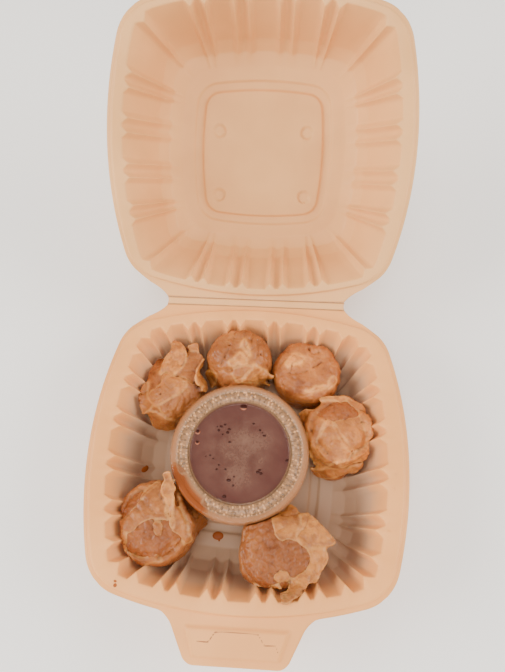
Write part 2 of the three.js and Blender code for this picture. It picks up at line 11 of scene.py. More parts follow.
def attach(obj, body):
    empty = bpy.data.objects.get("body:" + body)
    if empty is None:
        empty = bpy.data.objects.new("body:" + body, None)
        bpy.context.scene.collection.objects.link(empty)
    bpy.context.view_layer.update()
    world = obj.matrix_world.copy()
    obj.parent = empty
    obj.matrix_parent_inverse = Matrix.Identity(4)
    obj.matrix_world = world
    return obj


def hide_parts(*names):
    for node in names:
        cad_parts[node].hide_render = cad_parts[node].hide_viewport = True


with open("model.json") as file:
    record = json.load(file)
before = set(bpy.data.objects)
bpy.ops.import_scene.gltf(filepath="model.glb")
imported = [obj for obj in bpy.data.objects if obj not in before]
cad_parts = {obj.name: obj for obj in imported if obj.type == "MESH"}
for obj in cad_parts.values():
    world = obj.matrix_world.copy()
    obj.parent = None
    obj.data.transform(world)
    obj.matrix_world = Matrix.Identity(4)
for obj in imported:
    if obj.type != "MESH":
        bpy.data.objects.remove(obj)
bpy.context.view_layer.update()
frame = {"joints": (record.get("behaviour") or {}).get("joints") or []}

# ------------------------------------------------------------------ table, camera and light
# The open box stands on a plain pale table top. Everything is modelled in millimetres from the middle
# of the tray at the height of its flange, and the matrix TRAY puts it in its place on the table.
MM = 0.001
CREASE = 73.43
joints = {joint["name"]: Vector(joint["pos_m"]) for joint in frame["joints"]}
tray_crease = joints["tray_crease"]
lid_crease = joints["lid_crease"]
TRAY = Matrix.Translation(tray_crease - Vector((0, CREASE * MM, 0))) @ Matrix.Scale(MM, 4)

CAMERA_AT = (10.363, -49.004, 251.761)
CAMERA_RIGHT = Vector((0.9983, 0.0536, -0.021))
CAMERA_DOWN = Vector((0.0412, -0.9203, -0.3889))
CAMERA_AHEAD = Vector((-0.0402, 0.3874, -0.921))
LENS = 28.594

camera_data = bpy.data.cameras.new("camera")
camera_data.lens = LENS
camera_data.sensor_width = 36
camera_data.clip_start = 0.01
camera = bpy.data.objects.new("camera", camera_data)
turn = Matrix((CAMERA_RIGHT, -CAMERA_DOWN, -CAMERA_AHEAD)).transposed()
camera.matrix_world = Matrix.Translation(TRAY @ Vector(CAMERA_AT)) @ turn.to_4x4()
bpy.context.scene.collection.objects.link(camera)
bpy.context.scene.camera = camera


LIGHT_SIZE = 0.9
LIGHT_COLOR = (1.0, 0.95, 0.89)


def area_light(name, place, aim, power):
    data = bpy.data.lights.new(name, "AREA")
    data.shape = "DISK"
    data.size = LIGHT_SIZE
    data.energy = power
    data.color = LIGHT_COLOR
    light = bpy.data.objects.new(name, data)
    direction = Vector(aim) - Vector(place)
    turn = direction.to_track_quat("-Z", "Y").to_matrix().to_4x4()
    light.matrix_world = Matrix.Translation(place) @ turn
    bpy.context.scene.collection.objects.link(light)


area_light("left_light", (-1.1, -0.15, 0.62), (0, 0, 0.03), 18)
area_light("right_light", (1.1, 0.0, 0.62), (0, 0, 0.03), 13.5)
area_light("front_light", (0.1, -1.2, 0.72), (0, 0.05, 0.03), 9)
area_light("ceiling_light", (-0.1, -0.4, 1.5), (0, 0, 0), 11)
area_light("back_light", (0.2, 1.3, 0.8), (0, 0, 0.05), 6)

world = bpy.data.worlds.new("studio")
world.use_nodes = True
world.node_tree.nodes["Background"].inputs["Color"].default_value = (1.0, 0.965, 0.925, 1)
world.node_tree.nodes["Background"].inputs["Strength"].default_value = 0.62
bpy.context.scene.world = world


def piece_from(bm, name, body, slot_name, material, *nodes):
    """The finished piece: a smooth-shaded mesh that rides on its body and stands for its CAD nodes."""
    mesh = bpy.data.meshes.new(name)
    bm.to_mesh(mesh)
    bm.free()
    piece = bpy.data.objects.new(name, mesh)
    bpy.context.scene.collection.objects.link(piece)
    mesh.polygons.foreach_set("use_smooth", [True] * len(mesh.polygons))
    mesh.materials.append(material)
    if body:
        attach(piece, body)
    if nodes:
        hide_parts(*nodes)
    return piece


class Finish:
    """A Principled material under construction, with short ways to add noise and blends."""

    def __init__(self, name, color, roughness, **sockets):
        self.material = bpy.data.materials.new(name)
        self.material.use_nodes = True
        self.tree = self.material.node_tree
        self.shader = self.tree.nodes["Principled BSDF"]
        self.shader.inputs["Base Color"].default_value = (*color, 1)
        self.shader.inputs["Roughness"].default_value = roughness
        for socket, value in sockets.items():
            self.shader.inputs[socket.replace("_", " ")].default_value = value
        self.place = self.node("ShaderNodeTexCoord").outputs["Object"]

    def node(self, kind, **settings):
        node = self.tree.nodes.new(kind)
        for key, value in settings.items():
            setattr(node, key, value)
        return node

    def link(self, source, target):
        self.tree.links.new(source, target)

    def noise(self, scale, detail=4.0, roughness=0.55):
        node = self.node("ShaderNodeTexNoise")
        node.inputs["Scale"].default_value = scale
        node.inputs["Detail"].default_value = detail
        node.inputs["Roughness"].default_value = roughness
        self.link(self.place, node.inputs["Vector"])
        return node.outputs["Fac"]

    def range(self, value, low, high, to_low=0.0, to_high=1.0):
        node = self.node("ShaderNodeMapRange", interpolation_type="SMOOTHSTEP")
        limits = {"From Min": low, "From Max": high, "To Min": to_low, "To Max": to_high}
        for socket, number in limits.items():
            node.inputs[socket].default_value = number
        self.link(value, node.inputs["Value"])
        return node.outputs["Result"]

    def mix(self, factor, a, b):
        node = self.node("ShaderNodeMix", data_type="RGBA")
        self.link(factor, node.inputs[0])
        for socket, color in ((node.inputs[6], a), (node.inputs[7], b)):
            if isinstance(color, tuple):
                socket.default_value = (*color, 1)
            else:
                self.link(color, socket)
        return node.outputs[2]

    def attribute(self, name):
        return self.node("ShaderNodeAttribute", attribute_name=name).outputs["Fac"]

    def bump(self, height, distance, strength=1.0):
        node = self.node("ShaderNodeBump")
        node.inputs["Distance"].default_value = distance
        node.inputs["Strength"].default_value = strength
        self.link(height, node.inputs["Height"])
        if self.shader.inputs["Normal"].links:
            self.link(self.shader.inputs["Normal"].links[0].from_socket, node.inputs["Normal"])
        self.link(node.outputs["Normal"], self.shader.inputs["Normal"])

    def color(self, source):
        self.link(source, self.shader.inputs["Base Color"])


def srgb(red, green, blue):
    """A colour given as everyday 0 to 255 values, as the linear numbers that shaders use."""
    def linear(value):
        share = value / 255
        return share / 12.92 if share <= 0.04045 else ((share + 0.055) / 1.055) ** 2.4
    return (linear(red), linear(green), linear(blue))


table = Finish("table_top", srgb(250, 249, 247), 0.7).material
bm = bmesh.new()
bmesh.ops.create_grid(bm, x_segments=1, y_segments=1, size=3.0)
piece_from(bm, "table_top", None, None, table)

# ------------------------------------------------------------------ the box
# A hinged takeaway box, pressed from one sheet of tan polypropylene. Both halves are bowed rounded
# squares with fluted walls, a raised rim, a closing tab and a square foot groove in the floor.
FLANGE = (75.3, 73.1)  # half sizes of the flange's edge
BOW = 190.0  # radius of the outward bow of each side
STEP = 1.8  # height of the raised rim over the flange
DEPTH = 34.2  # of the floor under the flange
GROOVE = 1.4  # depth of the foot groove
SHEET = 0.7
ARCHES = (10.6, 31.0)  # middles of the arches between two ridges, along a side
ARCH_HALF = 3.4
RIDGE_HALF = 2.6
STRAIGHT = 24.0  # as far as this from a side's middle the ridges run straight down
STATION_STEP = 1.1
DIMPLE_DEPTH = 1.2
DIMPLE_EDGE = (2.8, 3.4)  # radii between which a dimple's side rises
TRAY_WALL, TRAY_RIDGE, TRAY_CORNER_RIDGES = 65.4, 4.0, (45.7,)
LID_WALL, LID_RIDGE = 67.6, 3.0


def outline(half_x, half_y, corner):
    """Rounded square with sides bowed outwards: its half sizes, corner radius and corner centre."""
    p = BOW - half_x
    q = BOW - half_y
    d = BOW - corner
    m = p / q
    n = (p * p - q * q) / (2 * q)
    b = p + m * n
    cx = (-b + math.sqrt(b * b - (1 + m * m) * (p * p + n * n - d * d))) / (1 + m * m)
    return (half_x, half_y), corner, (cx, m * cx + n)


def reach(shape, side):
    """Distance along a side from its middle to the middle of the corner."""
    return shape[2][(side + 1) % 2] + shape[1] / math.sqrt(2)


def edge_point(shape, side, s, inset=0.0):
    """Point of the outline at s along a side, moved inwards; side 0 is +X, then anticlockwise."""
    (halves, corner, centre) = shape
    half = halves[side % 2]
    along = centre[(side + 1) % 2]
    up = centre[side % 2]
    a = abs(s)
    tangent = BOW * math.sin(math.atan2(along, up + BOW - half))
    sine = a / BOW if a <= tangent else min(1.0, (a - along) / corner)
    cosine = math.sqrt(1 - sine * sine)
    out = (half - BOW + BOW * cosine if a <= tangent else up + corner * cosine) - inset * cosine
    t = math.copysign(a - inset * sine, s)
    return ((out, t), (-t, out), (-out, -t), (t, -out))[side]


def side_stations(wall_half, corner_ridges):
    """Places along one side as (s, share of the ridge's height), close together on the ridges."""
    edge = reach(outline(wall_half, wall_half, 14), 0)
    crests = [edge, -edge]
    for place in [c + d for c in ARCHES for d in (-ARCH_HALF, ARCH_HALF)] + list(corner_ridges):
        crests += [place, -place]
    height = lambda s: max(0.0, 1 - min(abs(s - c) for c in crests) / RIDGE_HALF)
    marks = {round(c + RIDGE_HALF * k, 3) for c in crests for k in (-1, -0.6, -0.15, 0, 0.15, 0.6, 1)}
    count = int(2 * edge / STATION_STEP)
    for i in range(count):
        s = -edge + 2 * edge * i / count
        if min(abs(s - m) for m in marks) > 0.45 * STATION_STEP:
            marks.add(s)
    return edge, [(s, height(s)) for s in sorted(marks) if -edge - 0.01 <= s < edge - 0.01]


def curve_point(t, start, bend, end):
    """The place at share t of the curve from start to end that bend pulls aside."""
    return [(1 - t) ** 2 * a + 2 * t * (1 - t) * b + t * t * c for a, b, c in zip(start, bend, end)]


def rounded_profile(corners, reach_mm=0.8, steps=3):
    """Profile levels with each corner rounded off; a level is (half x, half y, z, corner, ridge)."""
    levels = [corners[0]]
    for before, here, after in zip(corners, corners[1:], corners[2:]):
        def toward(other):
            length = math.hypot(other[0] - here[0], other[2] - here[2])
            k = min(0.45, reach_mm / max(length, 1e-6))
            return [h + (o - h) * k for h, o in zip(here, other)]
        a, b = toward(before), toward(after)
        for i in range(steps + 1):
            levels.append(curve_point(i / steps, a, here, b))
    levels.append(corners[-1])
    return levels


def half_profile(wall_half, ridge):
    """The press tool's profile, from the flange's edge in to the panel inside the foot groove."""
    fx, fy = FLANGE
    square = lambda half, z, corner, depth=0.0: (half, half, z, corner, depth)
    wall = (wall_half, wall_half, STEP - 0.1, 14, ridge)
    knee = (55.6, 55.6, -25.5, 14, ridge * 0.75)
    between = [a + (b - a) * 0.5 for a, b in zip(wall, knee)]
    return rounded_profile([
        (fx, fy, 0, 21.5, 0), (fx - 2, fy - 2, 0, 19.6, 0), (fx - 2.6, fy - 2.6, STEP, 19, 0),
        wall, between, knee, square(50.8, -31.6, 15, ridge * 0.45), square(44.3, -DEPTH, 16),
        square(37.7, -DEPTH, 12.5), square(36.7, -DEPTH - GROOVE, 11.5),
        square(33.0, -DEPTH - GROOVE, 8.8), square(32.2, -DEPTH, 8), square(29, -DEPTH, 7),
    ])


def extruded(bm, edges):
    """Extrudes an edge loop and returns the new loop's edges and vertices."""
    grown = bmesh.ops.extrude_edge_only(bm, edges=edges)["geom"]
    verts = {g for g in grown if isinstance(g, bmesh.types.BMVert)}
    rim = [g for g in grown if isinstance(g, bmesh.types.BMEdge) and set(g.verts) <= verts]
    return rim, verts


TAB_ROOT = 33.0
TAB_END = -89.5
TAB_ROWS = 38
TAB_ROUND = 3.2
PANEL_TOP = (22.1, -75.4)
PANEL_FOOT = (18.0, -86.7)
PANEL_RISE = 1.1


def tab_half_width(y):
    """Half the tab's width at y, with a fillet at its root and rounded corners at its end."""
    straight = 29.2 - 0.51 * (-72.7 - y)
    fillet = 2.5 * max(0.0, (y + 75.5) / 5.3) ** 2
    from_end = min(TAB_ROUND, y - TAB_END)
    return straight + fillet - TAB_ROUND + math.sqrt(TAB_ROUND ** 2 - (TAB_ROUND - from_end) ** 2)


def smooth(value, low, high):
    t = min(1.0, max(0.0, (value - low) / (high - low)))
    return t * t * (3 - 2 * t)


def panel_relief(x, y):
    """Height of the raised panel on the tab."""
    share = (y - PANEL_FOOT[1]) / (PANEL_TOP[1] - PANEL_FOOT[1])
    half = PANEL_FOOT[0] + (PANEL_TOP[0] - PANEL_FOOT[0]) * share
    inside = min(half - abs(x), PANEL_TOP[1] - y, y - PANEL_FOOT[1])
    return PANEL_RISE * smooth(inside, -0.3, 0.9)


WEB_ROWS = 8
STRIP_HALF = 46.4
CREASE_GAP = 0.15
WEB_CURVE = ((57.5, 64.9), (48.8, 69.0), (STRIP_HALF, CREASE - CREASE_GAP))


def flange_y(x):
    """How far back the flange's edge lies at x."""
    shape = outline(*FLANGE, 21.5)
    low, high = 0.0, reach(shape, 1)
    for _ in range(40):
        middle = (low + high) / 2
        if abs(edge_point(shape, 1, middle)[0]) < x:
            low = middle
        else:
            high = middle
    return edge_point(shape, 1, low)[1]


def box_half(wall_half, ridge, corner_ridges, dimples=(), flutes=True):
    """The sheet of one half as an open surface, with its tab at -Y and its hinge web at +Y."""
    edge, side = side_stations(wall_half, corner_ridges)
    stations = [(k, s, h if flutes else 0.8) for k in range(4) for s, h in side]
    bm = bmesh.new()
    label = bm.verts.layers.int.new("station")
    ring = bmesh.ops.create_circle(bm, segments=len(stations), radius=1)["verts"]
    for i, vert in enumerate(ring):
        vert[label] = i

    def place(verts, level):
        half_x, half_y, z, corner, depth = level
        shape = outline(half_x, half_y, corner)
        squeeze = (reach(shape, 0) - STRAIGHT) / (edge - STRAIGHT)
        for vert in verts:
            k, s, height = stations[vert[label]]
            a = abs(s)
            moved = a if a < STRAIGHT else STRAIGHT + (a - STRAIGHT) * squeeze
            x, y = edge_point(shape, k, math.copysign(moved, s), height * depth)
            vert.co = (x, y, z)

    levels = half_profile(wall_half, ridge)
    place(ring, levels[0])
    outer = list(bm.edges)
    edges = outer
    for level in levels[1:]:
        edges, verts = extruded(bm, edges)
        place(verts, level)
    rim = [(vert, vert.co.copy()) for vert in verts]
    rings = 40 if dimples else 3
    for i in range(1, rings + 1):
        edges, verts = extruded(bm, edges)
        spoke = {start[label]: co for start, co in rim}
        for vert in verts:
            x, y, z = spoke[vert[label]]
            share = 1 - 0.97 * i / rings
            far = [math.hypot(x * share - u, y * share - v) for u, v in dimples]
            dip = sum(1 - smooth(away, *DIMPLE_EDGE) for away in far) * DIMPLE_DEPTH
            vert.co = (x * share, y * share, z - dip)
    bmesh.ops.contextual_create(bm, geom=edges)

    def grow(side_index, root, rows, spot):
        """Extrudes the stretch of the flange's edge within root of a side's middle, row by row."""
        inside = lambda v: stations[v[label]][0] == side_index and abs(stations[v[label]][1]) <= root
        edges = [e for e in outer if inside(e.verts[0]) and inside(e.verts[1])]
        base = {v[label]: v.co.copy() for e in edges for v in e.verts}
        reach_x = max(abs(co.x) for co in base.values())
        for row in range(1, rows + 1):
            edges, verts = extruded(bm, edges)
            for vert in verts:
                start = base[vert[label]]
                vert.co = spot(start, start.x / reach_x, row / rows)

    def tab_spot(start, across, v):
        eased = 1 - (1 - v) ** 1.25
        y = start.y + (TAB_END - start.y) * eased
        x = across * tab_half_width(y)
        return (x, y, panel_relief(x, y))

    def web_spot(start, across, v):
        """The web's side curves in from the flange to the strip; no row crosses the flange's edge."""
        side_x, side_y = curve_point(v, *WEB_CURVE)
        x = across * side_x
        end = WEB_CURVE[2][1]
        edge_y = flange_y(abs(x))
        corner_y = flange_y(side_x)
        share = (side_y - corner_y) / max(end - corner_y, 1e-6)
        return (x, edge_y + (end - edge_y) * min(1.0, max(0.0, share)), 0)

    grow(3, TAB_ROOT, TAB_ROWS, tab_spot)
    grow(1, WEB_CURVE[0][0], WEB_ROWS, web_spot)
    bmesh.ops.recalc_face_normals(bm, faces=bm.faces)
    lowest = min(bm.faces, key=lambda f: f.calc_center_median().z)
    if lowest.normal.z < 0:
        bmesh.ops.reverse_faces(bm, faces=bm.faces)
    return bm


SLIT = ((-16.4, -80.8), (-11.6, -80.8), (-8.8, -76.9), (8.8, -76.9), (11.6, -80.8), (16.4, -80.8),
        (17.2, -83.0))


def distance_to_path(x, y, path):
    best = 1e9
    for (ax, ay), (bx, by) in zip(path, path[1:]):
        dx, dy = bx - ax, by - ay
        t = min(1.0, max(0.0, ((x - ax) * dx + (y - ay) * dy) / (dx * dx + dy * dy)))
        best = min(best, math.hypot(x - ax - t * dx, y - ay - t * dy))
    return best


def tan_sheet(name, color, slit=False):
    """Satin tan polypropylene with faint mottling; slit adds painted shade that darkens and greys the tray
    the deeper its sheet lies, and the dark cut in the tray's tab.
    """
    finish = Finish(name, color, 0.4, Specular_IOR_Level=0.25, Subsurface_Weight=0.08,
                    Subsurface_Scale=0.002)
    finish.shader.inputs["Subsurface Radius"].default_value = (1.0, 0.6, 0.3)
    cloud = finish.range(finish.noise(22, 3), 0.35, 0.68)
    pale = tuple(min(1.0, c * 1.05) for c in color)
    deep = tuple(c * k for c, k in zip(color, (0.95, 0.92, 0.87)))
    tone = finish.mix(cloud, pale, deep)
    if slit:
        # Painted shade: the sheet turns darker and greyer the deeper it lies below the flange.
        low = finish.range(finish.attribute("low"), 0.0, 1.0)
        tone = finish.mix(low, tone, srgb(197, 162, 132))
        cut = finish.range(finish.attribute("slit"), 0.12, 0.34)
        tone = finish.mix(cut, srgb(150, 92, 56), tone)
    finish.color(tone)
    finish.bump(finish.noise(900, 2), 0.00004, 0.5)
    return finish.material


def add_thickness(piece, thickness):
    solid = piece.modifiers.new("sheet", "SOLIDIFY")
    solid.thickness = thickness
    solid.offset = -1


tray_plastic = tan_sheet("tan_tray_sheet", srgb(240, 170, 102), slit=True)
lid_plastic = tan_sheet("tan_lid_sheet", srgb(228, 172, 112))

bm = box_half(TRAY_WALL, TRAY_RIDGE, TRAY_CORNER_RIDGES)
slit = bm.verts.layers.float.new("slit")
low = bm.verts.layers.float.new("low")
for vert in bm.verts:
    near_tab = vert.co.y < -72 and abs(vert.co.x) < 24
    # low is how deep the sheet lies below the flange; it drives the painted shade on the tray's walls and
    # floor.
    vert[low] = smooth(-vert.co.z, 0, 20)
    vert[slit] = distance_to_path(vert.co.x, vert.co.y, SLIT) if near_tab else 9.0
tray_skin = BVHTree.FromBMesh(bm)
room = box_half(TRAY_WALL, TRAY_RIDGE, TRAY_CORNER_RIDGES, flutes=False)
room_skin = BVHTree.FromBMesh(room)
room.free()
bmesh.ops.transform(bm, matrix=TRAY, verts=bm.verts)
tray = piece_from(bm, "tray_sheet", "tray", "box_plastic", tray_plastic, "base_tray")
add_thickness(tray, SHEET * MM)

fold = lid_crease - tray_crease
LID_TILT = 2 * math.atan2(fold.z, fold.y)
LID = (Matrix.Translation(lid_crease) @ Matrix.Rotation(LID_TILT, 4, "X") @ Matrix.Scale(MM, 4)
       @ Matrix.Translation((0, CREASE, 0)) @ Matrix.Rotation(math.pi, 4, "Z"))
DIMPLES = [(x, 5.0 + y) for x in (-23.6, 23.6) for y in (-16.8, 16.8)]
bm = box_half(LID_WALL, LID_RIDGE, (), DIMPLES)
bmesh.ops.transform(bm, matrix=LID, verts=bm.verts)
lid = piece_from(bm, "lid_sheet", "lid", "box_plastic", lid_plastic, "lid")
add_thickness(lid, SHEET * MM)

# ------------------------------------------------------------------ the hinge
# Two creases are pressed into the sheet with a narrow strip between them, so that the lid folds over
# in two steps. Each crease is a line of thinner plastic, with a bead coloured dark as painted shade of its
# groove.
STRIP = fold.length / MM
STRIP_SHEET = 0.45
CREASE_BEAD = 0.17
STRIP_FRAME = Matrix.Translation(tray_crease) @ Matrix.Rotation(LID_TILT / 2, 4, "X") @ Matrix.Scale(MM, 4)
bm = bmesh.new()
bmesh.ops.create_grid(bm, x_segments=60, y_segments=6, size=1)
for vert in bm.verts:
    u, v = vert.co.x, vert.co.y
    half = STRIP_HALF - 0.45 * (1 - v * v)
    vert.co = (u * half, STRIP / 2 + v * (STRIP / 2 - CREASE_GAP), -0.2 - 0.12 * v * v)
bmesh.ops.transform(bm, matrix=STRIP_FRAME, verts=bm.verts)
strip = piece_from(bm, "strip_sheet", "strip", "box_plastic", lid_plastic, "hinge_strip")
add_thickness(strip, STRIP_SHEET * MM)

# The beads in the creases are coloured dark as painted shade of the creases' grooves.
crease_shade_plastic = Finish("crease_painted_shade", srgb(170, 118, 78), 0.5).material


def crease_bead(name, body, start):
    """The crease's thin film, round its own axis so that it looks the same at every angle of the lid; it
    is coloured dark as painted shade of the crease's groove.
    """
    bm = bmesh.new()
    bmesh.ops.create_cone(bm, cap_ends=True, segments=10, radius1=CREASE_BEAD, radius2=CREASE_BEAD,
                          depth=2 * STRIP_HALF - 0.4)
    bmesh.ops.rotate(bm, verts=bm.verts, matrix=Matrix.Rotation(math.pi / 2, 3, "Y"))
    bmesh.ops.translate(bm, verts=bm.verts, vec=(0, 0, -0.12))
    bmesh.ops.transform(bm, matrix=Matrix.Translation(start) @ Matrix.Scale(MM, 4), verts=bm.verts)
    return piece_from(bm, name, body, "box_plastic", crease_shade_plastic)


crease_bead("tray_crease_film", "tray", tray_crease)
crease_bead("lid_crease_film", "lid", lid_crease)

# ------------------------------------------------------------------ the pot of dip
# A thin clear cup of dark, oily dip stands in the middle of the food. Its snap lid has a sunk disc
# inside a raised ring. Steam has fogged the disc, and the dip has foamed up under the ring.
POT_AT = (-3.7, -1.6)
POT_GAP = 0.3
POT_FOOT, POT_MOUTH, POT_HEIGHT, POT_WALL, POT_RIM = 22.3, 30.2, 31.0, 0.6, 31.8
LID_RADIUS, LID_SKIRT, LID_TOP, LID_DISC, LID_SUNK, LID_SHEET = 33.1, 27.2, 32.8, 24.0, 30.0, 0.6
DIP_LEVEL = 27.0


def turned(points, steps=120):
    """A closed profile of (radius, height) points spun round the pot's axis."""
    bm = bmesh.new()
    verts = [bm.verts.new((r, 0, z)) for r, z in points]
    edges = [bm.edges.new(pair) for pair in zip(verts, verts[1:])]
    bmesh.ops.spin(bm, geom=verts + edges, cent=(0, 0, 0), axis=(0, 0, 1), angle=2 * math.pi,
                   steps=steps, use_merge=True)
    bmesh.ops.remove_doubles(bm, verts=bm.verts, dist=0.002)
    bmesh.ops.recalc_face_normals(bm, faces=bm.faces)
    return bm


def stood_in_tray(bm, x=POT_AT[0], y=POT_AT[1], height=POT_GAP):
    """Moves a mesh from its own axis to its place on the tray's floor, and to metres."""
    bmesh.ops.translate(bm, verts=bm.verts, vec=(x, y, height - DEPTH))
    bmesh.ops.transform(bm, matrix=TRAY, verts=bm.verts)
    return bm


def bent(points, radius=0.5, steps=4):
    """The profile with its inner corners rounded."""
    out = [points[0]]
    for before, here, after in zip(points, points[1:], points[2:]):
        ends = []
        for other in (before, after):
            k = min(0.4, radius / max(math.dist(here, other), 1e-6))
            ends.append([h + (o - h) * k for h, o in zip(here, other)])
        for i in range(steps + 1):
            out.append(curve_point(i / steps, ends[0], here, ends[1]))
    return out + [points[-1]]


def pot_radius(height):
    return POT_FOOT + (POT_MOUTH - POT_FOOT) * height / POT_HEIGHT


cup_plastic = Finish("clear_cup_plastic", srgb(206, 178, 150), 0.16, Alpha=0.34, Coat_Weight=0.4).material
bm = turned(bent([
    (0, 0.6), (POT_FOOT - 2, 0.6), (POT_FOOT - 1.6, 0), (POT_FOOT, 0), (POT_MOUTH, POT_HEIGHT - 2.2),
    (POT_MOUTH + 0.2, POT_HEIGHT - POT_WALL), (POT_RIM, POT_HEIGHT - POT_WALL), (POT_RIM, POT_HEIGHT),
    (POT_MOUTH - POT_WALL, POT_HEIGHT), (POT_MOUTH - POT_WALL - 0.2, POT_HEIGHT - 2.2),
    (POT_FOOT - POT_WALL, POT_WALL + 0.7), (0, POT_WALL + 0.7)], 0.25, 2))
piece_from(stood_in_tray(bm), "pot_cup", "tray", "pot_plastic", cup_plastic, "dip_pot")

dip_color = Finish("oily_dip", srgb(84, 42, 28), 0.18, Coat_Weight=0.5, Coat_Roughness=0.08)
dip_color.color(dip_color.mix(dip_color.range(dip_color.noise(240, 5), 0.4, 0.66),
                              srgb(74, 36, 24), srgb(132, 78, 52)))
low = POT_WALL + 0.8
into_wall = 0.25
bm = turned([(0, low), (POT_FOOT - POT_WALL - 0.2, low)]
            + [(pot_radius(z) - POT_WALL + into_wall, z) for z in (low + 1, 9, 18, DIP_LEVEL - 0.4)]
            + [(pot_radius(DIP_LEVEL) - POT_WALL - 0.6, DIP_LEVEL), (0, DIP_LEVEL)])
piece_from(stood_in_tray(bm), "dip_in_the_cup", "tray", "dip", dip_color.material, "dip_sauce")

lid_profile = bent([
    (0, LID_SUNK - LID_SHEET), (LID_DISC, LID_SUNK - LID_SHEET),
    (LID_DISC + 0.5, LID_TOP - 0.9 - LID_SHEET),
    (POT_MOUTH - 0.3, LID_TOP - 0.9 - LID_SHEET), (POT_MOUTH + 0.3, LID_TOP - 0.2 - LID_SHEET),
    (LID_RADIUS - 1.1, LID_TOP - LID_SHEET), (LID_RADIUS - 0.3 - LID_SHEET, LID_TOP - 1.4),
    (LID_RADIUS - LID_SHEET, LID_SKIRT), (LID_RADIUS, LID_SKIRT), (LID_RADIUS - 0.3, LID_TOP - 0.8),
    (LID_RADIUS - 1, LID_TOP), (POT_MOUTH, LID_TOP - 0.2), (POT_MOUTH - 0.6, LID_TOP - 0.9),
    (LID_DISC, LID_TOP - 0.9), (LID_DISC - 0.6, LID_SUNK), (0, LID_SUNK)], 0.4)
bm = turned(lid_profile, 160)
radius_mark = bm.verts.layers.float.new("radius")
stain_mark = bm.verts.layers.float.new("stain")
for vert in bm.verts:
    away, turn = math.hypot(vert.co.x, vert.co.y), math.degrees(math.atan2(vert.co.y, vert.co.x)) % 360
    inner = 29.6 - 2.6 * math.exp(-((turn - 222) / 16) ** 2) + 0.5 * math.sin(turn / 3.1)
    vert[radius_mark] = away
    stained = smooth(turn, 190, 200) * (1 - smooth(turn, 238, 250))
    vert[stain_mark] = smooth(away, inner, inner + 0.8) * stained
clear_lid = Finish("clear_lid_plastic", srgb(214, 180, 150), 0.2, Coat_Weight=0.12, Coat_Roughness=0.06,
                   Specular_IOR_Level=0.25)
radius = clear_lid.attribute("radius")
cloud = clear_lid.range(clear_lid.noise(60, 6, 0.6), 0.3, 0.7)
fog = clear_lid.mix(cloud, srgb(90, 54, 46), srgb(130, 96, 80))
fog = clear_lid.mix(clear_lid.range(clear_lid.noise(900, 2), 0.42, 0.62, 0, 0.3), fog, srgb(90, 52, 42))
fog = clear_lid.mix(clear_lid.range(radius, 6, LID_DISC, 0, 0.75), fog, srgb(92, 52, 46))
on_ring = clear_lid.range(radius, LID_DISC - 0.5, LID_DISC + 0.3)
on_edge = clear_lid.range(radius, POT_MOUTH - 1, POT_MOUTH + 0.4)
stain = clear_lid.range(clear_lid.attribute("stain"), 0.1, 0.9)
tone = clear_lid.mix(on_edge, clear_lid.mix(on_ring, fog, srgb(222, 176, 132)), srgb(184, 122, 76))
clear_lid.color(clear_lid.mix(stain, tone, srgb(148, 76, 32)))
see = clear_lid.mix(on_ring, (0.8, 0.8, 0.8), (0.1, 0.1, 0.1))
see = clear_lid.mix(on_edge, see, (0.4, 0.4, 0.4))
see = clear_lid.mix(stain, see, (0.75, 0.75, 0.75))
clear_lid.link(see, clear_lid.shader.inputs["Alpha"])
piece_from(stood_in_tray(bm), "snap_lid", "tray", "pot_plastic", clear_lid.material, "pot_lid")

# Foam is caught under the lid's ring in rows of bubbles, some dark with dip, and a little dip has
# leaked over the cup's edge at one place. A row of foam is given by its distance from the axis, its
# number of bubbles, their radius and the share of them that are pale.
FOAM_IN, FOAM_OUT, FOAM_LOW, FOAM_HIGH = 24.9, POT_MOUTH - 1.1, 28.2, 30.5
FOAM_ROWS = ((29.7, 96, 0.78, 0.8), (28.2, 80, 0.8, 0.5), (26.8, 70, 0.8, 0.35), (25.4, 84, 0.5, 0.55))
FOAM_TONE = 0.36
foam_color = Finish("foam_of_dip", srgb(196, 152, 116), 0.22, Coat_Weight=0.4)
foam_color.color(foam_color.mix(foam_color.attribute("tone"), srgb(48, 14, 8), srgb(228, 168, 114)))
dice = random.Random(11)
bm = turned([(FOAM_IN, FOAM_LOW), (FOAM_OUT, FOAM_LOW), (FOAM_OUT, FOAM_HIGH), (FOAM_IN, FOAM_HIGH),
             (FOAM_IN, FOAM_LOW)])
tone_mark = bm.verts.layers.float.new("tone")
for vert in bm.verts:
    vert[tone_mark] = FOAM_TONE
for away, count, size, pale in FOAM_ROWS:
    for i in range(count):
        turn = 2 * math.pi * (i + dice.uniform(-0.3, 0.3)) / count
        grown = size * dice.uniform(0.6, 1.1)
        shade = dice.uniform(0.7, 1.0) if dice.random() < pale else dice.uniform(0.0, 0.15)
        ball = bmesh.ops.create_icosphere(bm, subdivisions=2, radius=grown)["verts"]
        bmesh.ops.scale(bm, verts=ball, vec=(1.15, 0.8, 0.8))
        bmesh.ops.rotate(bm, verts=ball, matrix=Matrix.Rotation(turn, 3, "Z"))
        place = away + dice.uniform(-0.25, 0.25)
        bmesh.ops.translate(bm, verts=ball, vec=(
            place * math.cos(turn), place * math.sin(turn), POT_HEIGHT - 0.8 * grown))
        for vert in ball:
            vert[tone_mark] = shade
piece_from(stood_in_tray(bm), "foam_under_lid", "tray", "dip", foam_color.material)

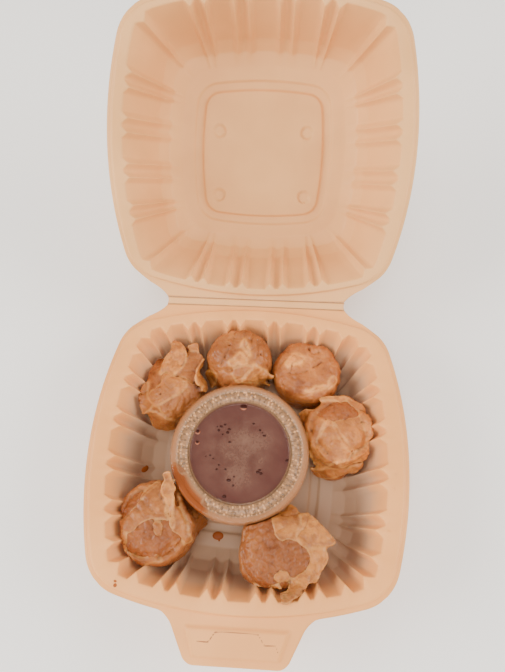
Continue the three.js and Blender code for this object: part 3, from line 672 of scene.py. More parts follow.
leaked = Finish("leaked_dip", srgb(118, 52, 16), 0.45, Specular_IOR_Level=0.1).material
LEAK_FROM, LEAK_TURN, LEAK_STEPS = 192, 54, 36
LEAK_EDGE = 31.6
LEAK_PROFILE = ((26.4, 30.95), (31.8, 31.05), (31.95, 31.5), (31.4, 31.85), (30.5, 31.8), (29.9, 31.24),
                (26.5, 31.2))
bm = bmesh.new()
ring = [bm.verts.new((r, 0, z)) for r, z in LEAK_PROFILE]
loop = [bm.edges.new(pair) for pair in zip(ring, ring[1:] + ring[:1])]
cap = bm.faces.new(ring)
bmesh.ops.spin(bm, geom=loop + [cap], cent=(0, 0, 0), axis=(0, 0, 1), angle=math.radians(LEAK_TURN),
               steps=LEAK_STEPS)
for vert in bm.verts:
    turn = math.atan2(vert.co.y, vert.co.x)
    share = turn / math.radians(LEAK_TURN)
    swing = min(1.0, max(0.0, 5.5 * share * (1 - share))) ** 0.6
    away = LEAK_EDGE + (math.hypot(vert.co.x, vert.co.y) - LEAK_EDGE) * max(0.15, swing)
    vert.co = (away * math.cos(turn), away * math.sin(turn), vert.co.z)
bmesh.ops.rotate(bm, verts=bm.verts, matrix=Matrix.Rotation(math.radians(LEAK_FROM), 3, "Z"))
bmesh.ops.recalc_face_normals(bm, faces=bm.faces)
piece_from(stood_in_tray(bm), "leaked_dip_under_lid", "tray", "dip", leaked)


def drop(bm, x, y, z, radius, flatness=0.45, stretch=1.0):
    """A drop that sits on a flat place, drawn out along X by stretch."""
    ball = bmesh.ops.create_icosphere(bm, subdivisions=3, radius=radius)["verts"]
    bmesh.ops.scale(bm, verts=ball, vec=(stretch, 1, flatness))
    bmesh.ops.translate(bm, verts=ball, vec=(x, y, z))


# Where the steam has run together under the lid there are clear spots, dark with the dip behind them.
SPOTS = ((2.2, 12.3, 0.5), (5.5, 9.3, 0.7), (6.6, 8.0, 0.4), (7.7, 6.7, 0.7), (-8.8, 2.8, 0.6),
         (-19.6, -4.5, 0.4), (-17.6, -3.9, 0.5), (-16.0, -5.4, 0.35), (-13.1, -8.2, 0.5),
         (-14.0, -10.3, 0.5), (-9.9, -10.1, 0.6), (-8.0, -15.0, 0.9), (-5.6, -13.3, 0.5),
         (-5.8, -17.3, 0.6), (-21.5, -18.1, 0.5), (-9.5, -22.4, 0.9), (19.2, 5.7, 0.8), (19.0, -4.6, 0.8),
         (5.4, -10.6, 0.8), (6.9, -11.2, 0.8), (6.2, -9.6, 0.6), (-14.4, 8.3, 0.8), (-13.4, 10.2, 0.7),
         (-11.6, 11.2, 0.6), (-10.1, 7.4, 0.9), (-9.4, 9.0, 0.7), (-12.4, 6.4, 0.5), (-15.3, 10.0, 0.4),
         (-3.1, 20.6, 1.5), (-24.6, 7.2, 1.2), (-24.3, 2.0, 1.0))
clear_spot = Finish("clear_spot_in_fog", srgb(52, 18, 10), 0.3, Specular_IOR_Level=0.2).material
# The paler rim set off to one side of each larger spot is painted light, caught at the drop's edge.
spot_rim_painted_light = Finish("spot_rim_painted_light", srgb(150, 84, 52), 0.3).material
spots = bmesh.new()
rims = bmesh.new()
for x, y, size in SPOTS:
    drop(spots, x, y, LID_SUNK + 0.06, size * 0.8, 0.2 / size, dice.uniform(0.9, 1.5))
    if size >= 1:
        # painted light along one side of the drop's edge
        drop(rims, x, y - 0.25 * size, LID_SUNK + 0.02, size * 0.95, 0.16 / size, 1.1)
piece_from(stood_in_tray(spots, 0, 0), "clear_spots_on_lid", "tray", "pot_plastic", clear_spot)
piece_from(stood_in_tray(rims, 0, 0), "painted_light_rims_on_lid", "tray", "pot_plastic", spot_rim_painted_light)

# Dip has dripped on the tray's floor and rim, and steam has left drops of water on the flange. Drips and
# laps of wrapper are set down along straight lines from one place above the open box.
ABOVE = Vector(CAMERA_AT)


def on_tray(bm, x, y, radius, flatness, stretch=1.0, height=0.0):
    """Sets a drop square on the tray's sheet, where the line from above through (x, y) meets it."""
    aim = Vector((x, y, height - DEPTH))
    spot, normal, _, _ = tray_skin.ray_cast(ABOVE, (aim - ABOVE).normalized())
    ball = bmesh.ops.create_icosphere(bm, subdivisions=3, radius=radius)["verts"]
    bmesh.ops.scale(bm, verts=ball, vec=(stretch, 1, flatness))
    bmesh.ops.rotate(bm, verts=ball, matrix=normal.to_track_quat("Z", "Y").to_matrix())
    bmesh.ops.translate(bm, verts=ball, vec=spot)


dripped = Finish("dripped_dip", srgb(160, 84, 36), 0.45, Specular_IOR_Level=0.15).material
bm = bmesh.new()
on_tray(bm, -54.8, -7.4, 2.1, 0.3)
on_tray(bm, -13.6, -38.4, 2.0, 0.28, 1.4)
on_tray(bm, -12.9, -40.6, 0.5, 0.5)
on_tray(bm, -53.2, -60.2, 0.5, 0.25, 1.4, 36)
on_tray(bm, -53.0, -61.8, 0.8, 0.16, 1.0, 36)
bmesh.ops.transform(bm, matrix=TRAY, verts=bm.verts)
piece_from(bm, "dripped_dip_on_tray", "tray", "box_plastic", dripped)

water = Finish("steam_water", (1, 1, 1), 0.03, Transmission_Weight=1.0, IOR=1.33).material
bm = bmesh.new()
for x, y, size in ((68.3, -9.3, 0.45), (67.1, -15.9, 0.5), (64.2, -31.0, 0.35), (64.0, -33.9, 0.35)):
    on_tray(bm, x, y, size, 0.5, 1.0, 36.8)
bmesh.ops.transform(bm, matrix=TRAY, verts=bm.verts)
piece_from(bm, "water_drops_on_flange", "tray", "box_plastic", water)

# ------------------------------------------------------------------ the dumplings
# Six steamed siu mai: a pouch of thin wheat wrapper gathered round minced meat, wet from the steam.
# Each is a pouch with laps of wrapper folded over its top; three are open, and their meat shows.
# A lap is given by its outline, as places across the tray and heights above the tray's floor. A crease
# is a path with its width and depth, and a speck is a pinprick in the skin.
DUMPLINGS = [
    dict(at=(-42.3, 31.5), size=(16.8, 17.5), height=26, lean=(-0.8, 0.5),
         lobes=((3, 0.4, 0.05), (5, 1.1, 0.03)), filling=0, tint=0.96,
         specks=[(-46.9, 29.9), (-45.9, 26), (-56.1, 26), (-56.9, 22.7)],
         creases=[
             (((-42.6, 36.7), (-45.5, 32.2), (-48.4, 28.5)), 0.5, -0.3),
             (((-35.2, 28.1), (-32.9, 24.3), (-33.2, 21.2)), 0.8, 0.6),
             (((-41.1, 20.6), (-38.3, 18)), 0.8, 0.6),
         ],
         laps=[
             dict(crown=0.4, thick=2.5, bed=0, pale=0.2, outline=[  # back
                 (-40.2, 38.3, 24), (-35.4, 49.6, 24.5), (-31.9, 51.6, 25), (-27.9, 49.6, 25.5),
                 (-25.4, 46.8, 26), (-28.6, 40.2, 24.5), (-29.1, 33.5, 24), (-34.8, 35.9, 24)]),
             dict(crown=0.3, thick=1.3, bed=2, pale=0.5, high=4, outline=[  # back tip
                 (-34.8, 53, 26), (-31.9, 54.4, 27), (-30, 55.2, 27.5), (-28.7, 53.1, 27.5),
                 (-29.1, 50.5, 27), (-27.8, 49.6, 26.5), (-30.6, 50.7, 25.5), (-33.2, 50.9, 25.5)]),
             dict(crown=1, thick=1.5, bed=4, pale=0.15, outline=[  # dome
                 (-34.2, 34.2, 27), (-29.8, 32.6, 26.5), (-25.4, 30.4, 26), (-26.3, 26.1, 24),
                 (-30.7, 21.3, 22), (-34.8, 16.5, 20), (-38.3, 14.7, 19.5), (-42.5, 15.5, 21),
                 (-45.7, 18.5, 23), (-45.8, 21.4, 24.5), (-39.8, 24.9, 26), (-35.1, 28.3, 26.6)]),
             dict(crown=1, thick=1.4, bed=3, pale=0.4, high=2.4, outline=[  # skirt
                 (-52.2, 17.8, 22.5), (-49.2, 17.8, 23), (-45.9, 16.8, 22.5), (-42.2, 14.9, 22),
                 (-38.1, 14.4, 20.5), (-36.4, 13.9, 17), (-39.6, 10.7, 13), (-44.7, 10.4, 13),
                 (-48.7, 10.8, 13.5), (-50.8, 12.2, 15), (-51.6, 15, 17), (-52.2, 16.6, 20)]),
             dict(crown=-1.2, thick=1.3, bed=0, pale=0.45, high=3, outline=[  # lip
                 (-58.2, 19.9, 25), (-58.3, 22.6, 26), (-57.5, 26.1, 26.5), (-55.4, 32.3, 25),
                 (-53.2, 32, 25), (-52.9, 26.9, 24.6), (-52.3, 24.8, 24.4), (-49.4, 21.3, 24),
                 (-52.1, 17.8, 23), (-54.7, 16.9, 22), (-56.5, 19.1, 21.5)]),
             dict(crown=1.2, thick=1.4, bed=3.5, pale=0.5, outline=[  # tongue
                 (-40.8, 36.1, 28), (-37, 34.8, 28), (-33.7, 33.6, 27.5), (-33.2, 30.8, 27),
                 (-35, 28.1, 27), (-39.7, 24.8, 26.5), (-45.6, 21.1, 25.5), (-48.4, 20, 25),
                 (-50.8, 22.5, 25), (-52.2, 25.3, 25), (-50.9, 27.7, 26), (-46.6, 31.7, 27),
                 (-46.2, 35.7, 27.5), (-43.8, 37.3, 28)]),
             dict(crown=0.9, thick=1.3, bed=3, pale=0.9, high=3, outline=[  # leaf
                 (-42.7, 55.1, 28), (-38.8, 54.9, 27), (-35.6, 51.6, 27.5), (-34.4, 47.6, 28),
                 (-35, 42.5, 28), (-37.6, 38.9, 27), (-41.1, 36.7, 26.3), (-44.2, 38.1, 26.3),
                 (-47.2, 37.5, 25.5), (-47, 43.7, 26.5), (-43.9, 49.7, 27.5)]),
             dict(crown=0.6, thick=1.3, bed=0, pale=0.85, high=9, outline=[  # ribbon
                 (-25, 47, 28), (-25.7, 44.1, 28), (-28, 38.8, 28.5), (-28.4, 33, 28),
                 (-26.4, 31.4, 27.5), (-24.7, 30.7, 27), (-24.6, 28.9, 25), (-22.8, 30.9, 20),
                 (-23.5, 34.7, 21), (-25.8, 38.5, 22), (-27.3, 40, 23), (-25.4, 44.8, 24),
                 (-24.1, 45.9, 28.5)]),
         ]),
    dict(at=(-7, 45.4), size=(17.0, 16.8), height=35.6, lean=(0, 3.6),
         lobes=((4, 0.2, 0.04), (7, 2.0, 0.02)), filling=0, tint=0.95,
         specks=[(-12, 51), (4.2, 47.2)],
         creases=[
             (((-12.3, 48.5), (-14.6, 44.1), (-16.1, 41.2)), 0.7, 1),
             (((2.3, 54.9), (2.8, 50.1), (2.7, 46.6)), 0.6, 0.9),
             (((5.4, 54.3), (6.3, 49.5), (6.1, 45.3)), 0.6, 0.9),
             (((8.3, 52.8), (8.8, 48.3), (8.4, 44.3)), 0.6, 0.8),
             (((-0.7, 58.4), (-1, 53.1)), 0.7, 0.7),
             (((-16.3, 38.7), (-10.6, 38)), 1, 1.6),
             (((-9.8, 58.8), (-10.1, 53.8)), 0.8, 0.6),
         ],
         laps=[
             dict(crown=0.6, thick=1.4, bed=3, pale=0.5, outline=[  # post
                 (-25, 42.3, 18), (-20.2, 40.1, 22), (-18.9, 38.8, 22), (-19.3, 36.1, 18),
                 (-21.8, 34.6, 14), (-23.7, 36.5, 13)]),
             dict(crown=0.6, thick=1.4, bed=4, pale=0.05, outline=[  # front
                 (-11.9, 39.9, 27.5), (-7.6, 41.5, 29), (-3, 42.7, 29), (-0.2, 41.8, 27.5),
                 (-2.7, 39.5, 25), (-5.8, 36.4, 20), (-8.1, 36.7, 20), (-9.6, 38.2, 23),
                 (-11.1, 39.5, 26)]),
             dict(crown=1.2, thick=1.4, bed=3.5, pale=0.7, high=2.6, outline=[  # fold
                 (1, 44.1, 26.5), (4.4, 42.1, 27), (7.6, 40.8, 26.5), (10.8, 37.9, 25),
                 (8.4, 36.8, 24), (8.2, 35.1, 22), (9.1, 34.5, 19), (6.6, 35.7, 18), (1.7, 37.1, 19),
                 (-5.2, 36.8, 19), (-2.8, 40.2, 23), (-0.6, 42.4, 25.5)]),
             dict(crown=0.5, thick=1.2, bed=2, pale=0.9, outline=[  # square
                 (-9.1, 44.5, 34), (-6.3, 47.1, 34.8), (-4.4, 45.4, 35), (-2.6, 43.7, 34.5),
                 (-3.4, 41.4, 33.5), (-5.6, 41.6, 33.5), (-7.8, 43.1, 33.6)]),
             dict(crown=0.5, thick=1.2, bed=2, pale=0.8, outline=[  # chip
                 (-11.9, 43, 32.5), (-10.4, 43.9, 33), (-8.1, 42.2, 33), (-9.9, 40.7, 32),
                 (-11.6, 41.3, 32)]),
             dict(crown=0.5, thick=1.3, bed=2, pale=0.95, high=2.4, outline=[  # frill
                 (-4.4, 54.8, 36.2), (-3.4, 53.2, 36.2), (-3, 51, 35.8), (-2.3, 49.3, 35.3),
                 (-1.5, 46.3, 34.6), (-3.2, 48, 35), (-4.8, 49.7, 35.6), (-5.7, 50.5, 36),
                 (-5.5, 52.4, 36.3)]),
         ]),
    dict(at=(28.1, 43.2), size=(17.6, 17.6), height=28.6, lean=(0.3, 0.2),
         lobes=((3, 2.2, 0.03), (6, 0.6, 0.02)), filling=0, tint=1.03,
         specks=[(15.4, 33.8)],
         creases=[
             (((30.9, 43.4), (32.9, 44.7), (35.2, 46.6)), 0.7, 0.8),
             (((18.5, 40.1), (20, 39.7)), 0.7, 0.8),
             (((19.5, 40.5), (20.5, 45.1)), 0.7, 0.7),
             (((21.2, 39.9), (25.2, 40.4), (28, 41.4)), 0.8, 0.6),
             (((19.3, 38.8), (21.4, 36.8)), 0.8, 0.6),
             (((28.8, 53.7), (30.8, 51.1), (33.7, 52)), 1.1, 1),
             (((27.6, 54.6), (28.3, 50), (30.2, 48.1)), 0.5, -0.5),
             (((14.9, 36.2), (15.1, 34.4)), 0.5, 0.8),
         ],
         laps=[
             dict(crown=0.8, thick=1.5, bed=3, pale=0.7, outline=[  # crest
                 (27.9, 33, 21), (30.7, 33.5, 21.5), (33.1, 35.4, 22), (37, 36.2, 21.5),
                 (39, 35.7, 19.5), (34.4, 34.1, 19), (30.9, 32.9, 19.5)]),
             dict(crown=1, thick=1.5, bed=3, pale=0.6, outline=[  # lobe
                 (39.9, 35.6, 19), (39.9, 39, 21.5), (41.3, 41.1, 22), (43.3, 41.1, 20.5),
                 (43.9, 39.1, 19), (42.4, 37.4, 17.5)]),
             dict(crown=0.7, thick=1.4, bed=2.5, pale=0.9, outline=[  # petal
                 (17.2, 46, 25), (18.6, 48.8, 26), (20.8, 51, 26.3), (23.2, 50.8, 26.3),
                 (26.1, 48.9, 26.6), (24.7, 46.5, 26.3), (22.7, 46, 25.8), (20.4, 45.5, 25.2),
                 (18.4, 44.9, 24.8)]),
         ]),
    dict(at=(43.4, 12.2), size=(17.2, 17.4), height=28, lean=(1.2, 0.3),
         lobes=((4, 0.9, 0.04), (3, 2.4, 0.03)), filling=0.84, tint=1.0,
         meat_rise=1.04, lumps=[(43, -0.2, 8.5, 9.3, 8.5), (53, 1.5, 13, 8, 9)],
         creases=[
             (((41.7, 13.8), (46.8, 8.1), (50.1, 4.8)), 0.5, -0.4),
             (((37.6, 12.1), (35.4, 6.4)), 0.8, 0.4),
             (((28.1, 15.6), (30.8, 9.5)), 0.8, 0.6),
         ],
         laps=[
             dict(crown=0.6, thick=1.4, bed=3, pale=0.45, high=3, outline=[  # under
                 (31.2, -4.9, 11), (35.5, -5.3, 13), (41.3, -4.7, 15), (48.1, -4.2, 16),
                 (52.5, -2.8, 16), (57.6, -1.5, 19.5), (58.6, -2.4, 10), (53.6, -5, 8.5),
                 (44.4, -7.5, 5), (35.3, -7.6, 5)]),
             dict(crown=0.6, thick=1.3, bed=1.5, pale=0.8, high=5, outline=[  # rim
                 (34.4, 28.3, 25.5), (40.1, 29.3, 26.5), (45.8, 29.8, 27), (47.8, 28.3, 27.4),
                 (46.9, 26.2, 27.6), (44.4, 25.6, 27.6), (41.9, 26.7, 27.2), (38.8, 26.9, 26.6),
                 (35, 26.6, 26)]),
             dict(crown=0.4, thick=1.2, bed=1.5, pale=0.5, outline=[  # frill
                 (47.7, 28.4, 26.5), (52.1, 27.1, 27), (55.5, 25.6, 27), (57.7, 22.6, 26.6),
                 (57, 21.2, 26.6), (53.2, 21.6, 27), (50.1, 24.4, 27)]),
             dict(crown=1, thick=1.4, bed=3.5, pale=0.4, outline=[  # panel
                 (24.3, 20.5, 21), (27.3, 22.9, 23.5), (30.1, 22, 25), (33.8, 19.8, 26.5),
                 (37.4, 16.5, 27.5), (36.3, 12.6, 26.5), (34.9, 9.7, 25), (33.5, 6.9, 23),
                 (31.4, 1.3, 19), (30.4, -0.4, 16), (29.2, 10.5, 17), (26.7, 16.5, 19)]),
             dict(crown=1.2, thick=1.4, bed=3, pale=0.6, high=4, outline=[  # wing
                 (53.2, 21.6, 27), (56.8, 21.2, 28), (59.2, 20.2, 28.5), (60.7, 16.5, 31),
                 (63.1, 15, 27), (61.3, 10.2, 31.5), (60.2, 7.9, 29), (58.4, 6.5, 25),
                 (57.3, 5.7, 22.5), (57.3, 9.2, 25), (56.3, 13.4, 26), (54.7, 16.9, 27),
                 (53.5, 19.2, 27.5)]),
             dict(crown=0.9, thick=1.4, bed=3, pale=0.9, high=2.4, outline=[  # corner
                 (56.6, 5.4, 25), (58.7, 3.4, 25), (59.1, -0.5, 24.5), (56.4, -1.9, 23),
                 (50, -3.3, 20.5), (46.8, -4.7, 18.5), (45.2, -3, 19), (45.6, -0.5, 21),
                 (50.9, 2.1, 23), (53.9, 3.3, 24)]),
             dict(crown=1.2, thick=1.4, bed=4, pale=0.5, outline=[  # sheet
                 (41.4, 16.4, 28), (47.3, 17.7, 28.5), (53.1, 18.8, 29), (54.4, 16.5, 28.5),
                 (56, 13, 27.7), (57, 8.8, 26.7), (56.5, 5.4, 25.2), (53, 3, 23.8), (50.9, 2.1, 23.2),
                 (46.7, 4.7, 24.5), (43.1, 9.8, 26.5), (41.1, 13.7, 28)]),
             dict(crown=1.3, thick=1.4, bed=4, pale=0.7, high=2.2, outline=[  # tri
                 (39.2, 17, 29), (41.4, 15.2, 28.5), (44.5, 10.8, 27.7), (48.1, 6.3, 26.3),
                 (50.9, 2, 23.5), (46.7, -1.9, 20), (42.7, -2.5, 19), (38.7, -4.7, 16),
                 (35.1, -5.2, 14), (32.1, -1.7, 15), (31.7, 1.7, 17), (33.6, 7.1, 22),
                 (35.7, 12.7, 26), (37.7, 16, 28.5)]),
         ]),
    dict(at=(-41.4, -35), size=(19, 19.6), height=29.5, lean=(-0.8, -0.6),
         lobes=((3, 1.4, 0.04), (5, 0.3, 0.03)), filling=0.84, tint=0.91,
         meat_rise=1.05,
         creases=[
             (((-43.4, -28), (-40.2, -31.7)), 0.9, 0.5),
             (((-30.2, -29.8), (-27.1, -35.1), (-26.3, -40)), 0.6, -0.4),
             (((-52.7, -28.3), (-48.1, -30.7)), 0.9, 0.6),
         ],
         laps=[
             dict(crown=0.8, thick=1.5, bed=4, pale=0.1, outline=[  # wet
                 (-31, -21.9, 27), (-26.4, -25.2, 23), (-21.6, -29.1, 17), (-17.8, -32.7, 10),
                 (-20.6, -35.7, 8), (-24, -42.1, 16), (-26, -35, 24), (-28.8, -29, 28)]),
             dict(crown=0.9, thick=1.4, bed=3, pale=0.3, outline=[  # crown
                 (-39.4, -17.3, 31), (-43.4, -18.6, 29), (-48.8, -23.6, 27.5), (-49.7, -26.3, 28),
                 (-52.6, -30.2, 27.5), (-55.9, -33.5, 26), (-57.3, -36.3, 29.5), (-56.6, -39.4, 29),
                 (-52.3, -40.6, 27), (-49.3, -38.9, 28), (-46.6, -36, 28.5), (-42.7, -34.3, 29),
                 (-38, -33.7, 29.5), (-34.6, -33.9, 30), (-35.5, -27.7, 31), (-37.6, -23.4, 31.5)]),
             dict(crown=0.5, thick=1.3, bed=1.5, pale=0.6, outline=[  # curl
                 (-49.1, -24.6, 28), (-48.8, -22.4, 28.3), (-45.9, -20.3, 29), (-42.1, -17.2, 29.5),
                 (-39.9, -16.6, 30.5), (-41.6, -19.6, 30.2), (-45.4, -23, 29.5), (-47.9, -25.6, 28.8)]),
             dict(crown=1.3, thick=1.4, bed=4, pale=0.5, outline=[  # cheek
                 (-32.3, -27.7, 32), (-29.9, -28, 30), (-27.2, -31.5, 28), (-25.7, -36.3, 25),
                 (-25.1, -39, 23), (-24, -41.7, 21), (-26.5, -43.7, 21), (-29.6, -40.5, 23),
                 (-32.3, -38.9, 26), (-33.8, -36.8, 27), (-32.3, -32, 31)]),
             dict(crown=0.6, thick=1.3, bed=2, pale=0.8, high=2.6, outline=[  # strip
                 (-55.9, -40.2, 27.5), (-53.8, -40.3, 25.2), (-52.9, -43.6, 25.2),
                 (-52.4, -46.7, 24.7), (-53.4, -48.8, 27), (-54.3, -47.1, 27.5), (-54.7, -44.2, 29.2)]),
             dict(crown=0.8, thick=1.4, bed=3, pale=0.35, outline=[  # apron
                 (-45.9, -50.1, 24.5), (-41.4, -49.3, 25.7), (-37.2, -47.9, 26.5),
                 (-37.1, -50.1, 25.5), (-36.4, -51.6, 24.5), (-41.8, -52.8, 21.5),
                 (-46.1, -53.9, 25.5), (-48.9, -52, 24.5), (-50.6, -49.9, 25.5), (-52.2, -48.2, 24),
                 (-49.5, -49.3, 23.5)]),
             dict(crown=1.6, thick=1.5, bed=3, pale=0.5, high=3, outline=[  # knob
                 (-42, -36.4, 28), (-40.1, -35, 28.3), (-37.3, -35.8, 28.2), (-36.4, -38.2, 27.8),
                 (-37, -40.7, 27), (-39.2, -41.4, 26.8), (-41, -39.7, 27.2)]),
             dict(crown=-1.2, thick=1.3, bed=0, pale=0.95, high=12, outline=[  # ribbon
                 (-38.6, -14.3, 35.5), (-36.6, -13.5, 36), (-33.8, -13.6, 36.5), (-31, -15.4, 36.5),
                 (-31.5, -18, 36.5), (-30.9, -19.5, 36.5), (-32.4, -22.1, 33.5), (-32.5, -24.9, 33),
                 (-32.1, -27.8, 33), (-32.2, -32.1, 32), (-31.2, -35, 30), (-32.1, -37.4, 28.5),
                 (-33.9, -36.3, 28.5), (-33.8, -33.2, 30), (-35.4, -32.1, 30.5), (-36, -30.3, 31),
                 (-35.5, -27.8, 32), (-36, -25.7, 33), (-37.8, -23.4, 34), (-38.7, -21, 34.5),
                 (-37.5, -17.4, 35)]),
         ]),
    dict(at=(16.4, -43.6), size=(18.4, 18.4), height=30, lean=(-0.4, -0.8),
         lobes=((4, 2.6, 0.035), (5, 1.2, 0.03)), filling=0.95, tint=0.87,
         meat_rise=1.06, lumps=[(9, -52, 18, 9, 11)],
         creases=[
             (((16, -41.3), (21.5, -42.9), (25, -45.9)), 0.9, 0.5),
             (((3.6, -37.3), (7.7, -42.4), (8.7, -48)), 1, 0.5),
             (((29.4, -28.9), (28.1, -33.6), (24.7, -37.7)), 0.7, 0.5),
         ],
         laps=[
             dict(crown=0.8, thick=1.4, bed=3, pale=0.7, high=8, outline=[  # hem
                 (6.1, -58.8, 24.5), (9.2, -59.5, 26), (11.6, -59.4, 26), (13.9, -58, 26.5),
                 (16.9, -58.2, 26), (17.9, -60.7, 31), (15.4, -62.4, 24), (12.1, -62.6, 23.5),
                 (9.4, -63.3, 23), (6.6, -62.9, 22), (6, -60.5, 28.5)]),
             dict(crown=0.8, thick=1.4, bed=2, pale=0.7, high=4, outline=[  # frill
                 (14.4, -54.9, 28), (16.3, -52.6, 29), (17.7, -51.9, 29.5), (20.4, -52.4, 29.5),
                 (22.4, -54.7, 29.5), (21.2, -56.4, 28), (16.5, -56.9, 27.5)]),
             dict(crown=1, thick=1.5, bed=3.5, pale=0.7, outline=[  # scarf
                 (12.1, -29.5, 26), (16.9, -27, 27), (21.1, -23.3, 26), (25, -25.5, 26.5),
                 (25.3, -27.3, 28), (29.1, -27.2, 29), (32.2, -29.1, 29.3), (37.7, -34.1, 30.3),
                 (40.7, -37.5, 30.8), (41.5, -39.4, 30.8), (40.4, -41.3, 30.3), (36.4, -42.6, 29.8),
                 (28.2, -42.8, 29.8), (24.8, -40.9, 29.8), (21.4, -39.6, 29.6), (17.6, -40.3, 29.4),
                 (15.2, -38.8, 29), (13.9, -36.9, 28.5), (13.2, -32.9, 27.5)]),
             dict(crown=0.7, thick=1.4, bed=2.5, pale=1, high=5, outline=[  # scarf top
                 (25.2, -27.5, 29.7), (28, -27.7, 30.2), (32.1, -29.2, 30.6), (37.6, -34.2, 31.6),
                 (40.9, -38.2, 31.9), (41.2, -40.1, 31.8), (36.3, -42.5, 31), (29.5, -42.6, 31),
                 (25, -39.6, 31), (24.3, -35.8, 31), (25.6, -33.4, 30.7), (25.9, -30.5, 30.3)]),
             dict(crown=0.5, thick=1.3, bed=1.2, pale=1, high=12, outline=[  # tail
                 (28.8, -40.4, 31), (30.1, -42.8, 31.5), (35.9, -42.5, 31), (38.8, -45.5, 30.5),
                 (37, -49.6, 30.5), (33.3, -56.2, 31), (31, -56.7, 31), (28.8, -58.7, 35),
                 (26.4, -61.7, 37), (23.9, -62.3, 37.4), (21.4, -64.5, 37.4), (17.9, -64.7, 37.2),
                 (17.5, -62.2, 35.5), (20.4, -59.2, 33.5), (21.1, -57.2, 31), (24, -54.3, 30.5),
                 (28.3, -51, 30.5), (29.9, -46, 30.5), (28.3, -42.6, 30.8)]),
         ]),
]


def smooth_loop(points, spacing):
    """Evenly spaced places on the closed smooth curve through the points."""
    points = [Vector(p) for p in points]
    count = len(points)
    places = []
    for i in range(count):
        a, b, c, d = (points[(i + k) % count] for k in (-1, 0, 1, 2))
        steps = max(1, round((c - b).length / spacing))
        for j in range(steps):
            t = j / steps
            places.append(0.5 * (2 * b + (c - a) * t + (2 * a - 5 * b + 4 * c - d) * t * t
                                 + (3 * b - a - 3 * c + d) * t ** 3))
    return places


def add_to(pile, bm):
    """Adds a finished part to the pile that becomes one dumpling."""
    mesh = bpy.data.meshes.new("part")
    bm.to_mesh(mesh)
    bm.free()
    pile.from_mesh(mesh)
    bpy.data.meshes.remove(mesh)


UPWARD = Vector((0.04, -0.387, 0.921))  # the side of a lap that lies open to the air
LAP_STEP = 0.8  # spacing of the places along a lap's edge
LAP_TRIANGLE = 1.6  # longest edge left inside a lap
LAP_OVER = 0.3  # least height of a lap over the pouch
BED_INSET = 1.3  # how far in from a lap's edge its bed starts


def nearest_of(places):
    """A search tree over the places, by their number."""
    tree = kdtree.KDTree(max(1, len(places)))
    for i, place in enumerate(places):
        tree.insert(place, i)
    tree.balance()
    return tree


def eased(bm, rounds, verts=None):
    """Smooths the skin, or only some of its vertices."""
    for _ in range(rounds):
        bmesh.ops.smooth_vert(bm, verts=verts or bm.verts, factor=0.5, use_axis_x=True, use_axis_y=True,
                              use_axis_z=True)
    return bm


def laid_on(place, pouch_skin, low, high):
    """The place, moved straight towards or away from above until it lies low to high over the pouch."""
    down = (place - ABOVE).normalized()
    hit = pouch_skin.ray_cast(ABOVE, down, 400)[0]
    if not hit:
        return place
    return hit - down * min(high, max(low, (hit - place).dot(down)))


def wrapper_lap(pile, pouch_skin, heart, outline, crown, thick, bed, high=1.6):
    """A lap of wrapper inside its outline: thin along its edge, bedded on the food further in."""
    lap = bmesh.new()
    places = [laid_on(Vector((x, y, h - DEPTH)), pouch_skin, LAP_OVER, high) for x, y, h in outline]
    ring = [lap.verts.new(p) for p in smooth_loop(places, LAP_STEP)]
    edges = [lap.edges.new(pair) for pair in zip(ring, ring[1:] + ring[:1])]
    bmesh.ops.triangle_fill(lap, use_beauty=True, edges=edges, normal=UPWARD)
    for _ in range(3):
        long = [e for e in lap.edges if not e.is_boundary and e.calc_length() > LAP_TRIANGLE]
        bmesh.ops.subdivide_edges(lap, edges=long, cuts=1)
        bmesh.ops.triangulate(lap, faces=lap.faces)
    ring = [v for v in lap.verts if v.is_boundary]
    inner = [v for v in lap.verts if not v.is_boundary]
    if inner:
        eased(lap, 30, inner)
    rim = nearest_of([v.co for v in ring])
    depth = {v: rim.find(v.co)[2] for v in lap.verts}
    for vert in inner:
        raised = crown * (1 - math.exp(-depth[vert] / 1.8))
        over = LAP_OVER + 0.5 * max(0.0, raised)
        vert.co = laid_on(vert.co + Vector((0, 0, raised)), pouch_skin, over, 99)
    bmesh.ops.recalc_face_normals(lap, faces=lap.faces)
    if sum((f.normal * f.calc_area() for f in lap.faces), Vector()).dot(UPWARD) < 0:
        bmesh.ops.reverse_faces(lap, faces=lap.faces)
    edge_places = [v.co.copy() for v in ring]
    tops = [v.co.copy() for v in lap.verts]
    if bed:
        lap.faces.index_update()
        under = lap.copy()
        under.faces.ensure_lookup_table()
        bare = [under.faces[f.index] for f in lap.faces if min(depth[v] for v in f.verts) < BED_INSET]
        bmesh.ops.delete(under, geom=bare, context="FACES")
        if under.faces:
            grown = bmesh.ops.extrude_face_region(under, geom=under.faces[:], use_keep_orig=True)["geom"]
            for vert in (g for g in grown if isinstance(g, bmesh.types.BMVert)):
                vert.co += (heart - vert.co).normalized() * (bed + thick)
            bmesh.ops.recalc_face_normals(under, faces=under.faces)
            add_to(pile, under)
        else:
            under.free()
    lap.normal_update()
    grown = bmesh.ops.extrude_face_region(lap, geom=lap.faces[:], use_keep_orig=True)["geom"]
    for vert in (g for g in grown if isinstance(g, bmesh.types.BMVert)):
        vert.co += -thick * vert.normal
    bmesh.ops.recalc_face_normals(lap, faces=lap.faces)
    add_to(pile, lap)
    return edge_places, tops


